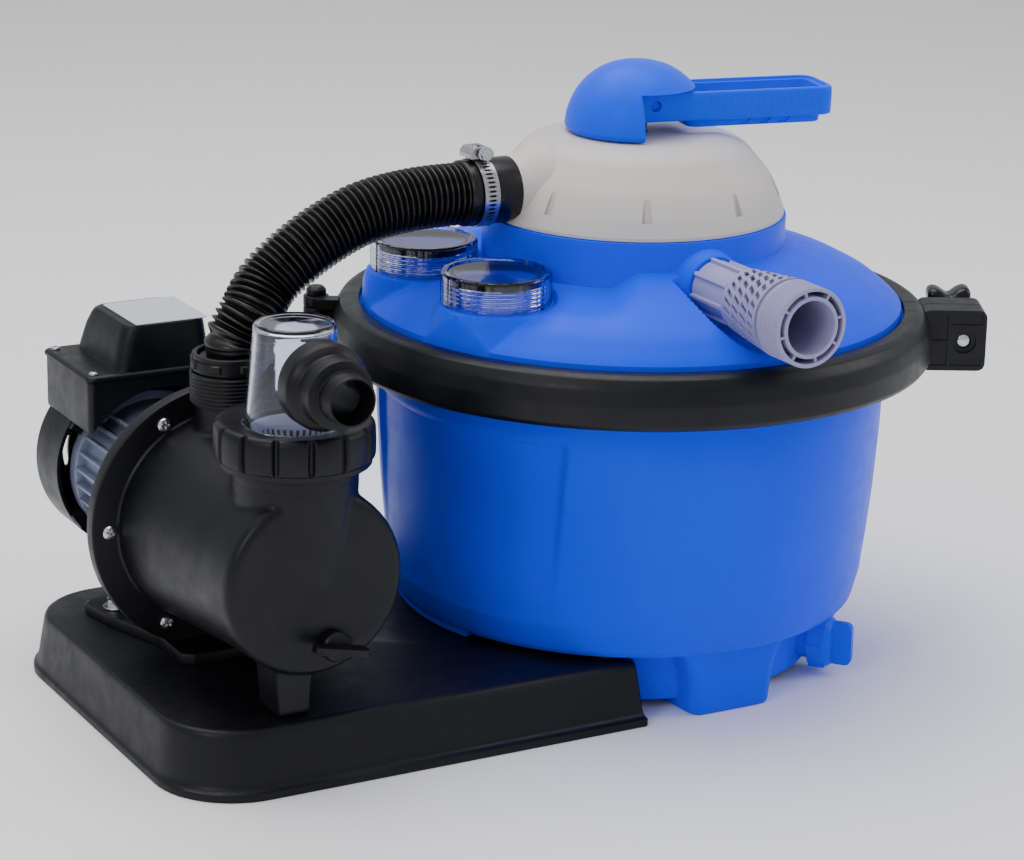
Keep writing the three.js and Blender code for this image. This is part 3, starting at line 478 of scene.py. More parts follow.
def smooth_path(points, count):
    """Centripetal Catmull-Rom through the points, sampled evenly along its length."""
    p = [np.array(q, float) for q in points]
    p = [2 * p[0] - p[1]] + p + [2 * p[-1] - p[-2]]
    fine = []
    for i in range(1, len(p) - 2):
        knots = [0.0]
        for a, b in zip(p[i - 1:i + 2], p[i:i + 3]):
            knots.append(knots[-1] + np.linalg.norm(b - a) ** 0.5)
        t0, t1, t2, t3 = knots
        for t in np.linspace(t1, t2, 40, endpoint=i == len(p) - 3):
            a1 = (t1 - t) / (t1 - t0) * p[i - 1] + (t - t0) / (t1 - t0) * p[i]
            a2 = (t2 - t) / (t2 - t1) * p[i] + (t - t1) / (t2 - t1) * p[i + 1]
            a3 = (t3 - t) / (t3 - t2) * p[i + 1] + (t - t2) / (t3 - t2) * p[i + 2]
            b1 = (t2 - t) / (t2 - t0) * a1 + (t - t0) / (t2 - t0) * a2
            b2 = (t3 - t) / (t3 - t1) * a2 + (t - t1) / (t3 - t1) * a3
            fine.append((t2 - t) / (t2 - t1) * b1 + (t - t1) / (t2 - t1) * b2)
    fine = np.array(fine)
    s = np.concatenate([[0], np.cumsum(np.linalg.norm(np.diff(fine, axis=0), axis=1))])
    at = np.linspace(0, s[-1], count)
    return np.stack([np.interp(at, s, fine[:, k]) for k in range(3)], axis=1), at


def swept(points, radius_at, count, sides=48, across=(0, 1, 0)):
    """Round tube along a path. radius_at takes distance along it and total length."""
    path, s = smooth_path(points, count)
    tangent = np.gradient(path, axis=0)
    tangent /= np.linalg.norm(tangent, axis=1)[:, None]
    u = np.array(across, float)
    t = np.linspace(0, 2 * math.pi, sides, endpoint=False)
    rows = []
    for k in range(count):
        u = u - tangent[k] * (u @ tangent[k])
        u /= np.linalg.norm(u)
        v = np.cross(tangent[k], u)
        r = radius_at(s[k], s[-1])
        rows.append(path[k] + r * (np.outer(np.cos(t), u) + np.outer(np.sin(t), v)))
    return sheet_of(rows, caps=(True, True))


def lattice(surface, columns, rows, solid, thickness, offset=-1):
    """Open grid: surface(u, v) gives a point for u, v in 0..1; cells where solid(i, j) is false stay open."""
    verts = [surface(i / columns, j / rows) for j in range(rows + 1) for i in range(columns)]
    faces = [(j * columns + i, j * columns + (i + 1) % columns, (j + 1) * columns + (i + 1) % columns,
              (j + 1) * columns + i) for j in range(rows) for i in range(columns) if solid(i, j)]
    obj = bare("lattice", [(np.array(verts), faces)])
    mod = obj.modifiers.new("wall", "SOLIDIFY")
    mod.thickness, mod.offset, mod.use_even_offset = thickness / 1000, offset, True
    mesh = bpy.data.meshes.new_from_object(obj.evaluated_get(bpy.context.evaluated_depsgraph_get()))
    v = np.array([w.co for w in mesh.vertices]) * 1000 - OFFSET
    f = [tuple(q.vertices) for q in mesh.polygons]
    bpy.data.objects.remove(obj)
    return v, f


def screw_thread(r, depth, z0, z1, pitch):
    """Profile of a fine thread between two heights."""
    out = []
    n = max(1, round((z1 - z0) / pitch))
    for k in range(n):
        a = z0 + (z1 - z0) * k / n
        p = (z1 - z0) / n
        out += [(r - depth, a + 0.02 * p), (r - depth, a + 0.25 * p), (r, a + 0.5 * p), (r, a + 0.75 * p)]
    return out + [(r - depth, z1)]


# ---------- tray ----------
def tray_outline(inset, fine=14):
    x0, y0, y1, corner, rnd, cut_r = -445, -167, 186, -74, 62, 155
    left, front, back = x0 + inset * 0.5, y0 + inset, y1 - inset
    out = []

    def arc(cx, cy, r, a0, a1, n):
        out.extend((cx + r * math.cos(rad(a0 + (a1 - a0) * i / n)),
                    cy + r * math.sin(rad(a0 + (a1 - a0) * i / n))) for i in range(n + 1))

    r = rnd - inset * 0.4
    arc(left + r, front + r, r, 180, 270, fine)
    big, end = cut_r + inset * 0.3, corner - inset * 0.35
    out.append((end - 2, front))
    out.append((end, front + 2))
    arc(0, 0, big, 360 - math.degrees(math.acos(end / big)), 140, 40)
    arc(big * math.cos(rad(140)) - 10, back - 10, 10, 0, 90, 5)
    arc(left + r, back - r, r, 90, 180, fine)
    return out


def build_tray():
    rows = [(22, 43), (20, 44.3), (18.6, 43), (10.5, 2), (9, 0.4), (8, 0), (1, 0), (0.2, 0.5), (0, 1.4),
            (0, 4.6), (0.5, 5.8), (2.6, 6.8), (4.2, 8.2), (5.2, 11), (5.8, 14), (12, 41), (12.9, 44.4),
            (14.2, 46.8), (16.2, 48.2), (18.6, TRAY_H)]
    parts = [stack(tray_outline, rows)]
    for x in (-342, -226):
        parts.append(brick(x - 1.5, x + 1.5, -150, 168, 9, 45))
    for y in (-60, 60):
        parts.append(brick(-430, -190, y - 1.5, y + 1.5, 9, 45))
    make("tray_moulding", parts, TRAY_BLACK, "unit", ["base_tray"], angle=40)


# ---------- tank ----------
def build_tank():
    outer = [(0, 57), (140, 52.4), (145.4, 49), (145.4, 9.4), (146.6, 8), (149, 8), (150.2, 9.4),
             (152, 44), (153.6, 48.6), (158, 50.2), (172, 51.9)]
    barrel = [(178.6, 53), (181.2, 56), (182.4, 60), (186.4, 76.5), (190.1, 110), (193.1, 143), (196, 192),
              (197, 226), (197, 243)]
    rim = fillet([(197, 243), (205, 249.4), (216.5, 249.4), (216.5, 259.6), (193, 259.6), (191.5, 200),
                  (185, 110), (172, 62), (0, 62)], 1.2, 3)
    profile = outer + dense(barrel, 3.2)[:-1] + rim

    def panel(r, z, t):
        on = soft(wrap(t, -166), -32, -30.4) * (1 - soft(wrap(t, -166) - 0.022 * (z - 150), 29.4, 31.2))
        high = (1 - soft(z, 217, 221)) * (0.12 + 0.88 * soft(z, 86, 190))
        outside = (r > 184.5) & (z > 78) & (z < 240) & (r > 186.2 + (z - 78) * 0.05)
        return r - 4.2 * on * high * outside, z

    parts = [turned(profile, 480, shape=panel)]

    def foot(key):
        half, reach = key
        return [(x, y) for x, y in fillet([(reach, half), (120, half + 4), (120, -half - 4), (reach, -half)],
                                          [11, 0, 0, 11], 8, closed=True)]

    rows = [((32, 164.5), 0), ((33.6, 166.4), 0.8), ((34.4, 167), 2.4), ((35.4, 167.6), 16),
            ((36.8, 168), 30), ((39.5, 168.4), 40), ((44, 168.7), 48), ((50, 168.9), 54)]
    for a in (-90, 20, 90):
        parts.append(turn(stack(foot, rows), rz=a))
    parts.append(radial(turned(fillet([(8, 140), (15, 140), (15, 167), (8, 167)], 0.7, 3, closed=True), 64,
                               closed=True), DRAIN, 25))
    pad = sector(fillet([(160, 49.2), (180, 49.2), (180, 60), (160, 60)], 1, 3, closed=True), 162, 198, 30)
    parts.append(pad)
    make("tank_moulding", parts, BLUE, "unit", ["tank_shell"], angle=36)

    n = 167
    cup = turned(fillet([(0, n + 3.5), (7.6, n + 3.5), (7.6, n + 0.5), (15.4, n + 0.5), (15.4, n - 9),
                         (20, n - 9), (20, n + 4), (17, n + 8), (0, n + 8)], 1.0, 3), 96)
    grips = around(brick(18.4, 21.4, -2.1, 2.1, n - 8.6, n + 4), 6, 30)
    wing = turn(slab(round_rect(-17, 17, n + 5, n + 23, 6), -3.2, 3.2), rx=90)
    cap = bare("drain_cap_moulding", [radial(p, DRAIN, 25) for p in (cup, *grips, wing)])
    finish_piece(cap, HANDLE_BLUE, "drain_cap", ["tank_drain_cap"], bevel=0.8)


# ---------- lid ----------
def lid_drop(r, t):
    """The lid sinks beside the sight caps and leaves a raised wedge at the front."""
    side = wrap(t, -165)
    return 13 * soft(side, -56, -38) * (1 - soft(side, 34, 48)) * (1 - soft(r, 118, 192))


def build_lid():
    cone = np.array([(116.5, 331), (127, 327), (165.8, 313.5), (189.3, 301.5), (204, 289), (207.6, 285.3)])

    def outside(r, z, t):
        x, y = r * np.cos(t), r * np.sin(t)
        z = z - lid_drop(r, t)
        for s in (1, -1):
            d = np.hypot(x - CAP_X, y - s * CAP_Y)
            boss = 308.4 - np.clip(d - 42.6, 0, 200) * 2.4
            z = np.where(d < 60, np.maximum(z, boss), z)
            flat = 1 - soft(d, 43.4, 45.6)
            z = z * (1 - flat) + 308.4 * flat
        dx = np.abs(x - OUT_X)
        trough = OUT_Z - np.sqrt(np.clip(31.5**2 - dx**2, 0, None)) + 60 * soft(dx, 30.2, 33.5)
        near = 1 - soft(y, -124, -118)
        z = np.where((y < -100), z * (1 - near) + np.minimum(z, trough) * near, z)
        return r, z

    radii = np.concatenate([np.linspace(207.6, 192, 10), np.linspace(190.5, 117.2, 64)])
    eased = np.array(dense(fillet([tuple(p) for p in cone], [0, 50, 90, 60, 12, 0], 16), 1.5))
    top = [(r, float(np.interp(r, eased[:, 0], eased[:, 1]))) for r in radii]
    rim = fillet([(202, 265.6), (216.5, 265.6), (216.5, 276.2), (208.5, 277)], 0.8, 3)
    collar = fillet([(116.5, 345), (116.5, COLLAR_TOP), (108.5, COLLAR_TOP), (108.5, 336), (102, 336),
                     (102, 326)], 0.8, 3)
    profile = rim + top + [(116.5, 330.5)] + collar
    seg = 720
    prof = np.array(profile)
    t = np.linspace(0, 2 * math.pi, seg, endpoint=False)
    r = np.repeat(prof[:, :1], seg, 1)
    z = np.repeat(prof[:, 1:], seg, 1)
    ang = np.repeat(t[None], len(prof), 0)
    k0, k1 = len(rim), len(rim) + len(top)
    r[k0:k1], z[k0:k1] = outside(r[k0:k1], z[k0:k1], ang[k0:k1])
    z[k1] = z[k1 - 1] + 0.6  # foot of the collar follows the cone
    under_r = np.repeat(np.linspace(104, 200, 40)[:, None], seg, 1)
    under_t = np.repeat(t[None], 40, 0)
    inner = np.array([(102, 326), (125, 320), (184, 296), (200, 281)])
    base = np.interp(under_r, inner[:, 0], inner[:, 1])
    over = np.interp(under_r, cone[:, 0], cone[:, 1])
    _, over = outside(under_r, over, under_t)
    under_z = np.minimum(base - lid_drop(under_r, under_t), over - 4)
    r, z = np.vstack([r, under_r]), np.vstack([z, under_z])
    rows = np.stack([r * np.cos(t), r * np.sin(t), z], axis=2)
    lid = bare("lid_moulding", [sheet_of(rows, wrap_v=True)])
    holes = [on_sight(rod(31, 280, 330, 64, 0), s) for s in (1, -1)]
    carve(lid, holes)
    spout = turned(fillet([(17.8, OUT_Y + 127.5), (22.6, OUT_Y + 127.5), (24, OUT_Y + 130),
                           (26, OUT_Y + 137), (27.5, -102), (17.8, -102)], 0.9, 3, closed=True), 96,
                   closed=True)
    necks = [along_y(spout, OUT_X, OUT_Z)]
    for s in (1, -1):
        neck = fillet([(31, 300), (34.4, 300)], 0, 1) + screw_thread(35, 0.8, 309, 323.4,
                                                                     3.6) + [(34, 325), (31.4, 325),
                                                                             (31, 324)]
        necks.append(on_sight(turned(neck, 96, closed=True), s))
    merge_into(lid, bare("lid_necks", necks))
    finish_piece(lid, BLUE, "unit", ["tank_lid"], angle=38)


COLLAR_TOP = 353.3


def build_caps():
    for s, side in ((-1, "front"), (1, "rear")):
        outer = fillet([(0, 331.6), (35, 331.6), (36.4, 333), (39.8, 333), (41, 331.4), (41, 309.6),
                        (40.2, 309.2)], 0.7, 3)
        thread = [(r, z) for r, z in reversed(screw_thread(36.9, 0.8, 310.5, 326, 3.1))]
        inner = [(36.6, 309.2)] + thread[::-1] + [(36, 329.6), (0, 329.8)]

        def ribs(r, z, t):
            rib = np.clip(np.cos(12 * t) * 6 - 5.1, 0, 0.55)
            return np.where((r > 40) & (z < 331.5), r - 0.55 + rib, r), z

        cap = turned(outer + inner, 240, shape=ribs)
        obj = bare(f"sight_cap_{side}_clear", [on_sight(cap, s)])
        finish_piece(obj, CLEAR, f"cap_{side}", [f"sight_cap_{side}"], angle=40)


# ---------- clamp ring ----------
def split_frame(part):
    return turn(part, rz=SPLIT)


def screw_frame(part):
    """Local +z runs along the clamp screw, away from the front, at the bolt's place."""
    x, y = BOLT_R * math.cos(rad(SPLIT)), BOLT_R * math.sin(rad(SPLIT))
    return turn(turn(part, rx=-90), rz=SPLIT, at=(x, y, BOLT_Z))


def build_clamp():
    section = fillet([(212, 243.6), (229, 243.4), (232, 247.4), (231.6, 262), (229.4, 273.5), (225, 280.6),
                      (220, 282.4), (210, 282.4), (210, 277.8), (223, 277), (223, 249), (212, 249)],
                     [0.8, 2, 3, 20, 12, 5, 4, 1.2, 1, 1, 1, 1], 5, closed=True)
    front = [sector(section, SPLIT - 179.85, SPLIT - 0.15, 200)]
    rear = [sector(section, SPLIT + 0.15, SPLIT + 179.85, 200)]

    def lug(y0, y1, top=281):
        return turn(slab(round_rect(224, 274, -top, -233, 7), y0, y1), rx=-90)

    def knuckle(z0, z1):
        return turn(rod(10, z0, z1, 48, 1.0), at=(HINGE_X, 0, 0))

    plate = bare("lug", [lug(-20.5, -0.7)])
    at = (BOLT_R, 0, BOLT_Z)
    tools = [turn(rod(9.2, -30, -17.5, 48, 0.2), rx=-90, at=at),
             turn(rod(5.7, -30, 5, 48, 0), rx=-90, at=at)]
    for x0, x1, z0, z1 in ((230, 244, 237, 254.5), (230, 244, 257, 277.5), (246.5, 270.5, 237, 243),
                           (246.5, 270.5, 269.5, 277.5)):
        tools.append(brick(x0, x1, -30, -19.4, z0, z1))
    carve(plate, tools)
    cut_plate = part_of(plate)
    front += [split_frame(p) for p in (cut_plate, knuckle(249, 258.7), knuckle(272.3, 281),
                                       brick(HINGE_X, -226, -15, -1, 249.5, 258.2),
                                       brick(HINGE_X, -226, -15, -1, 272.8, 280.5))]
    rear += [split_frame(p) for p in (lug(0.7, 20.5), knuckle(259, 272),
                                      brick(HINGE_X, -226, 1, 15, 259.5, 271.5))]
    make("clamp_front_half", front, RING_BLACK, "unit", ["clamp_ring_front"], bevel=0.6)
    make("clamp_rear_half", rear, RING_BLACK, "clamp_rear", ["clamp_ring_rear"], bevel=0.6)
    pin = turned(fillet([(0, 247), (4, 247), (4, 281.3), (7.8, 281.3), (7.8, 285.5), (5.5, 288), (0, 288)],
                        0.6, 3), 48)
    make("clamp_pin_turned", [split_frame(turn(pin, at=(HINGE_X, 0, 0)))], RING_BLACK, "unit",
         ["clamp_hinge_pin"])

    def star(scale):
        t = np.linspace(0, 2 * math.pi, 180, endpoint=False)
        r = (20.9 + 4.9 * np.cos(5 * (t - rad(56)))) * scale
        return list(zip(r * np.cos(t), -r * np.sin(t)))

    rows = [(0.5, 57.5), (0.86, 58.2), (0.94, 59.6), (0.985, 61.8), (1, 65), (1, 74), (0.985, 76.4),
            (0.93, 78.6), (0.84, 79.8), (0.66, 80.2), (0.55, 79.4)]
    knob = [screw_frame(stack(star, rows)), screw_frame(rod(13, 56.5, 61, 64, 0.8)),
            screw_frame(rod(14, 76, 82, 64, 1.6))]
    make("clamp_knob_star", knob, GLOSS_BLACK, "clamp_screw", ["clamp_knob"], angle=45)
    stud = turned([(0, -17.6), (3.6, -17.5), (4.9, -16.8), (5, -14)] + screw_thread(5, 0.55, -13, 56, 1.5)
                  + [(4.2, 57), (0, 57)], 48)
    make("clamp_stud", [screw_frame(stud)], ZINC, "clamp_screw")
    make("clamp_spacer", [screw_frame(ring(5.8, 10, 20.8, 56.2))], RING_BLACK, "clamp_spacer",
         ["clamp_sleeve"])


# ---------- multiport valve ----------
def build_dome():
    outer = fillet([(0, 413.8), (61, 413.8), (73, 410.6), (84, 405.8), (103.5, 383.5), (110.5, 368.5),
                    (114.7, 356.4), (114.7, 353.7), (107.6, 353.7), (107.6, 345), (103.5, 345),
                    (103.5, 356), (104, 366), (94, 385), (79, 400), (60, 407.5), (0, 407.5)],
                   [0, 40, 60, 60, 60, 60, 0.8, 0.5, 0, 0.8, 0.8, 2, 4, 4, 4, 4, 0], 7)
    skin = turned(dense(outer[:40], 2.5) + outer[40:], 300)
    neck = [(18, 84), (34, 84), (33.5, 90), (30.5, 96), (27.6, 101), (25.9, 106.5), (24.6, 111),
            (23.8, 116), (23.8, 127.4), (23.2, 128), (18, 128)]
    obj = bare("dome_moulding", [skin])
    carve(obj, [turn(turned(neck, 96, closed=True), ry=-90, at=(0, 0, HOSE_Z))], "UNION")
    cuts = [turn(rod(17.8, 60, 140, 64, 0), ry=-90, at=(0, 0, HOSE_Z)), rod(9, 400, 420, 48, 0)]
    pocket = fillet([(-3.9, 0), (-2.0, 18), (2.0, 18), (3.9, 0)], [0.6, 1.2, 1.2, 0.6], 3, closed=True)
    wedge = turn(slab([(-z, y) for y, z in pocket], 0, 14), ry=90)  # stands up, opening outwards along +x
    for a in range(-156, 204, 40):
        if abs(wrap(rad(a), 180)) > 20:
            cuts.append(turn(turn(wedge, ry=-14.5, at=(107.4, 0, 366)), rz=a))
    for a in range(0, 360, 24):
        cuts.append(turn(brick(69.5, 75, -2.4, 2.4, 412.6, 416), rz=a + 6))
    carve(obj, cuts)
    finish_piece(obj, DOME_GREY, "unit", ["valve_dome"], angle=36, bevel=0.5)


def build_handle():
    outer = fillet([(0, 415), (53, 415), (55, 419), (54, 427), (51, 437), (45.5, 447), (37, 456.5),
                    (25, 464), (12, 467.6), (0, 468.3)], [0, 1, 2, 60, 60, 60, 60, 60, 60, 0], 8)
    obj = bare("handle_hub", [turned(dense(outer, 1.5), 240)])
    inside = fillet([(0, 414), (49, 414), (49, 426), (44, 439), (36, 448.6), (0, 448.6)], 2, 3)
    shell = bare("cavity", [turned(inside, 96)])
    carve(shell, [brick(-23.5, 70, -70, 70, 400, 470)])
    cavity = part_of(shell)
    carve(obj, [slab(round_rect(-21, 30, -27.2, 27.2, 1.5), 413, 449), brick(-12, 90, -60, 60, 413, 449),
                cavity])
    swing(obj)
    finish_piece(obj, HANDLE_BLUE, "handle", ["valve_handle_dome"], bevel=0.9, angle=36)


def swing(obj):
    """Turns an object built along +x to the lever's resting direction, in its mesh."""
    there = Matrix.Translation(Vector(OFFSET) / 1000)
    obj.data.transform(there @ Matrix.Rotation(rad(AIM), 4, "Z") @ there.inverted())


def build_lever():
    end = 152.5
    loop = [(0.9, 424.8), (0.2, 425.4), (0, 427), (-0.2, 440), (0, 444.6), (0.5, 445.8), (1.5, 446.5)]
    lever = stack(lambda i: round_rect(-16 + i, end - i, -26.5 + i, 26.5 - i, 13, 14), loop)
    obj = bare("lever_moulding", [lever])
    skirt = stack(lambda i: round_rect(34 + i, end - 9 - i, -21 + i, 21 - i, 8, 8),
                  [(1.2, 418.5), (0.3, 419.1), (0, 420.5), (0, 428)])
    grips = []
    for x in np.arange(50, 142, 5.5):
        for s in (1, -1):
            y0, y1 = (24, 26.85) if s > 0 else (-26.85, -24)
            grips.append(brick(x, x + 2.6, y0, y1, 433, 443.5))
    carve(obj, [skirt, *grips], "UNION")
    hole = slab(round_rect(36, end - 8, -17.5, 17.5, 7, 10), 400, 470)
    step = slab(round_rect(31.5, end - 3.9, -22.6, 22.6, 10, 8), 444.6, 460)
    pin = turn(rod(4.3, -70, 70, 32, 0), rx=-90, at=(6, 0, 437))
    tools = [step, hole, slab(round_rect(-30, 27, -12, 12, 2), 400, 470), pin]
    for x in (76, 92, 108):
        for s in (1, -1):
            slant = [(x, 419.6), (x + 6, 419.6), (x + 11, 424.9), (x + 3, 424.9)]
            pocket = turn(slab([(q, -w) for q, w in slant], -1.6, 1.6), rx=-90, at=(0, s * 21, 0))
            tools.append(pocket)
    carve(obj, tools)
    swing(obj)
    finish_piece(obj, HANDLE_BLUE, "lever", ["valve_lever"], bevel=0.7, angle=36)
    pin = bare("lever_pin_turned", [turn(rod(4, -23, 23, 48, 0.8), rx=-90, at=(6, 0, 437))])
    swing(pin)
    finish_piece(pin, HANDLE_BLUE, "handle", ["lever_pin"])


# ---------- outlet adaptor ----------
def build_adaptor():
    y0 = OUT_Y + 127.5

    def place(part):
        return turn(part, rx=90, at=(OUT_X, y0, OUT_Z))  # local +z points towards -y from the socket

    socket = fillet([(14, -14), (17.1, -14), (17.1, 0.3), (20.3, 0.3), (20.3, 43), (22.6, 46.4),
                     (22.4, 47.4), (18.8, 47.4), (16.6, 44), (14, 25)],
                    [0.4, 0.4, 0.5, 0.8, 0.8, 0.8, 0.4, 0.4, 0.8, 1], 3, closed=True)
    parts = [place(turned(socket, 128, closed=True))]
    for i in range(8):
        a = i * 45 + 10
        rib = stack(lambda k: [(19, -1.9 * k), (22.6 * (0.985 + 0.015 * k), -1.6 * k), (22.8, -1.1 * k),
                               (22.8, 1.1 * k), (22.6, 1.6 * k), (19, 1.9 * k)],
                    [(0.75, 1), (1, 2.2), (1, 40), (1.2, 44)])
        parts.append(place(turn(rib, rz=a)))
    # Cone: an open lattice of slanted windows over a plain inner tube.
    ends = [(22.4, 46.2), (27.9, 98.2)]
    columns, rows = 288, 96

    def surface(u, v):
        r = ends[0][0] + (ends[1][0] - ends[0][0]) * v
        z = ends[0][1] + (ends[1][1] - ends[0][1]) * v
        a = 2 * math.pi * u + v * 0.9
        return r * math.cos(a), r * math.sin(a), z

    def solid(i, j):
        row = 0 if 8 <= j < 26 else 1 if 31 <= j < 49 else 2 if 54 <= j < 72 else 3 if 77 <= j < 90 else -1
        if row < 0:
            return True
        return (i + 5 * row) % 12 < 6

    parts.append(place(lattice(surface, columns, rows, solid, 1.6, 1)))
    thread = [(r, z) for r, z in screw_thread(29.3, 0.75, 103, 125.6, 3.1)]
    mouth = ([(26.3, 127.5), (28.6, 127.5)] + [(29.3, 126.8)] + thread[::-1]
             + [(29.3, 101.6), (28.8, 100.5), (27.6, 99.4), (27.6, 97), (24.4, 97), (24.4, 110.5),
                (26.3, 112)])
    parts.append(place(turned(mouth, 160, closed=True)))
    inner = fillet([(19.7, 44), (21.4, 44), (22.2, 60), (22.6, 80), (22.6, 127.5), (19.7, 127.5)], 0.5, 3,
                   closed=True)
    parts.append(place(turned(inner, 128, closed=True)))
    for i in range(8):
        parts.append(place(turn(brick(22.3, 26.6, -0.9, 0.9, 100, 126.9), rz=i * 45 + 12)))
    make("adaptor_moulding", parts, ADAPTOR, "unit", ["outlet_adaptor"], angle=34)


# ---------- hose ----------
ROUTE = [(-116, 0, 378.6), (-150, 0, 378.6), (-192, 0, 377.8), (-232, -0.5, 371.6), (-262, -1, 359.6),
         (-289, -2, 344.1), (-311, -3, 326.6), (-326, -9, 308.6), (-333.8, -9, 296.6), (-337.3, -9, 289.6),
         (-337.3, -9, 284)]


def build_hose():
    pitch = 4.75

    def radius(s, total):
        lip = soft(s, 34, 38) * (1 - soft(s, total - 5, total - 2))
        wave = 0.5 + 0.5 * math.cos(2 * math.pi * s / pitch)
        wave = wave ** 0.75
        return 22.7 + (-3.1 * (1 - wave) + 0.75 * wave) * lip

    count = 700
    parts = [swept(ROUTE, radius, count, 72)]
    cuff = fillet([(19.4, 110), (24.8, 110), (24.8, 129.4), (24.5, 130.2), (24.5, 144.3), (24.8, 145),
                   (24.8, 151), (23.2, 152.4), (19.4, 152.4)], [0.3, 1.2, 0.5, 0.4, 0.4, 0.5, 1.2, 1.2,
                                                                0.3], 3, closed=True)
    collar = turned(cuff, 128, closed=True)
    parts.append(turn(collar, ry=-90, at=(0, 0, HOSE_Z)))
    make("hose_corrugated", parts, HOSE_BLACK, "unit", ["hose"], angle=60)


def build_band():
    cols, rows = 288, 26

    def surface(u, v):
        a = 2 * math.pi * u
        return 25.3 * math.cos(a), 25.3 * math.sin(a), 131 + 12.5 * v

    def solid(i, j):
        return not (8 <= j < 18 and i % 6 in (2, 3, 4)) and not (5 <= j < 21 and i % 6 == 3)

    parts = [turn(lattice(surface, cols, rows, solid, 0.75, 1), ry=-90, at=(0, 0, HOSE_Z))]
    make("band_strip", parts, BAND, "unit", ["hose_clamp_band"], angle=40)
    z = HOSE_Z
    spot = (BAND_X, 0, z + BAND_RISE)
    half = fillet([(-146.9, z + 26.7), (-146.9, z + 31), (-143.6, z + 34.7), (-131, z + 34.7),
                   (-127.6, z + 31), (-127.6, z + 26.7)], [0.5, 3, 3, 3, 3, 0.5], 5, closed=True)
    shell = slab([(x, -q) for x, q in half], -8, 10)
    house = bare("band_housing", [turn(shell, rx=-90)])
    carve(house, [turn(rod(3.6, -16, 20, 48, 0), rx=-90, at=spot),
                  brick(-140.6, -133.8, -3, 6, z + 33.0, z + 40)])
    finish_piece(house, BAND, "unit", ["hose_clamp_housing"], bevel=0.4)
    core = turned([(0, -13.8)] + screw_thread(3.2, 0.6, -13.6, 9, 2.0)
                  + [(2.9, 9.2), (2.9, 10.8), (0, 10.8)], 48)
    head = bare("band_screw_head", [slab(hexagon(4.5), 10.6, 16.3), rod(4.9, 10.6, 11.6, 48, 0.3)])
    carve(head, [brick(-0.6, 0.6, -5, 5, 14.9, 17)])
    head_part = part_of(head)
    make("band_screw_turned", [turn(core, rx=90, at=spot), turn(head_part, rx=90, at=spot)], ZINC,
         "band_screw", ["hose_clamp_screw"], bevel=0.3)


# ---------- pump ----------
def on_strainer(part):
    return turn(part, at=(PX, STR_Y, 0))


def soft_body(obj, voxel, rounds):
    """Remeshes obj evenly and relaxes it, so that the joins of its parts flow into each other."""
    mod = obj.modifiers.new("even", "REMESH")
    mod.mode, mod.voxel_size = "VOXEL", voxel / 1000
    mod = obj.modifiers.new("relax", "SMOOTH")
    mod.factor, mod.iterations = 0.6, rounds
    mesh = bpy.data.meshes.new_from_object(obj.evaluated_get(bpy.context.evaluated_depsgraph_get()))
    obj.modifiers.clear()
    obj.data = mesh


def flange_holes(y0, y1):
    hole = turn(rod(3.4, y0, y1, 24, 0), at=(FLANGE_R, 0, 0))
    return [on_pump(p) for p in around(hole, FLANGE_SCREWS)]


def build_casing():
    hull = fillet([(0, -155.4), (63, -155.4), (67.2, -152.5), (68.2, -148), (69.8, -110), (77.5, -24),
                   (81.2, 14), (0, 14)], [0, 4, 4, 4, 30, 30, 1, 0], 6)
    obj = bare("casing_moulding", [on_pump(turned(dense(hull, 4), 200))])
    neck = on_strainer(turned([(0, 120), (30, 120), (38, 150), (41.5, 175), (43.6, 198), (45, 214),
                               (45, 229), (0, 229)], 160))
    port = on_port(turned([(0, 168), (27, 168), (25.6, 205), (25.2, 236), (0, 236)], 128))
    column = stack(lambda i: round_rect(-366.5 + i, -340.5 - i, -143 + i, -108 - i, 3, 4),
                   [(0, 49.4), (0, 60), (-2, 88), (-8, 102)])
    carve(obj, [neck, port, column], "UNION")
    soft_body(obj, 1.5, 9)
    tools = [on_pump(rod(58, -149, -46, 96, 2)), turn(rod(37, 150, 260, 96, 0), at=(PX, STR_Y, 0)),
             on_pump(rod(73, -34, 22.9, 96, 2)), on_pump(rod(15, -50, -30, 48, 0)),
             on_port(rod(16, 190, 278, 48, 0)), brick(-430, -260, 5, 40, 40, TRAY_H + 9.4),
             along_y(rod(6.4, -158, -148, 48, 0), PX + PLUG_X, PZ + PLUG_Z)]
    carve(obj, tools)
    rim = fillet([(73.5, 8.5), (80, 8.5), (82, 10.9), (100.8, 10.9), (100.8, 21.9), (73.5, 21.9)],
                 [0, 1, 1, 1.4, 0.6, 0.3], 4, closed=True)
    flange = bare("flange", [on_pump(turned(rim, 256, closed=True))])
    holes = flange_holes(9.9, 22.9)
    carve(flange, [*holes, brick(-430, -260, 5, 40, 40, TRAY_H + 9.4)])
    seat = fillet([(37, 221), (45.3, 221), (45.3, 234), (42, 234.2), (42, 252), (37, 252)],
                  [0, 1.2, 0.6, 0, 0.8, 0.4], 4, closed=True)
    top = ([(16, 232), (25.2, 232), (25.4, 243), (28.6, 244.6)] + screw_thread(29.5, 0.8, 245, 267.5, 3.0)
           + [(28.8, 268.5), (22, 268.5), (22, 279), (17.2, 279), (17.2, 288.6), (14.4, 288.6),
              (14.4, 270), (16, 270)])
    parts = [on_strainer(turned(seat, 160, closed=True)), on_port(turned(top, 128, closed=True)),
             part_of(flange)]
    merge_into(obj, bare("casing_fittings", parts))
    finish_piece(obj, BLACK, "unit", ["pump_casing"], angle=38)


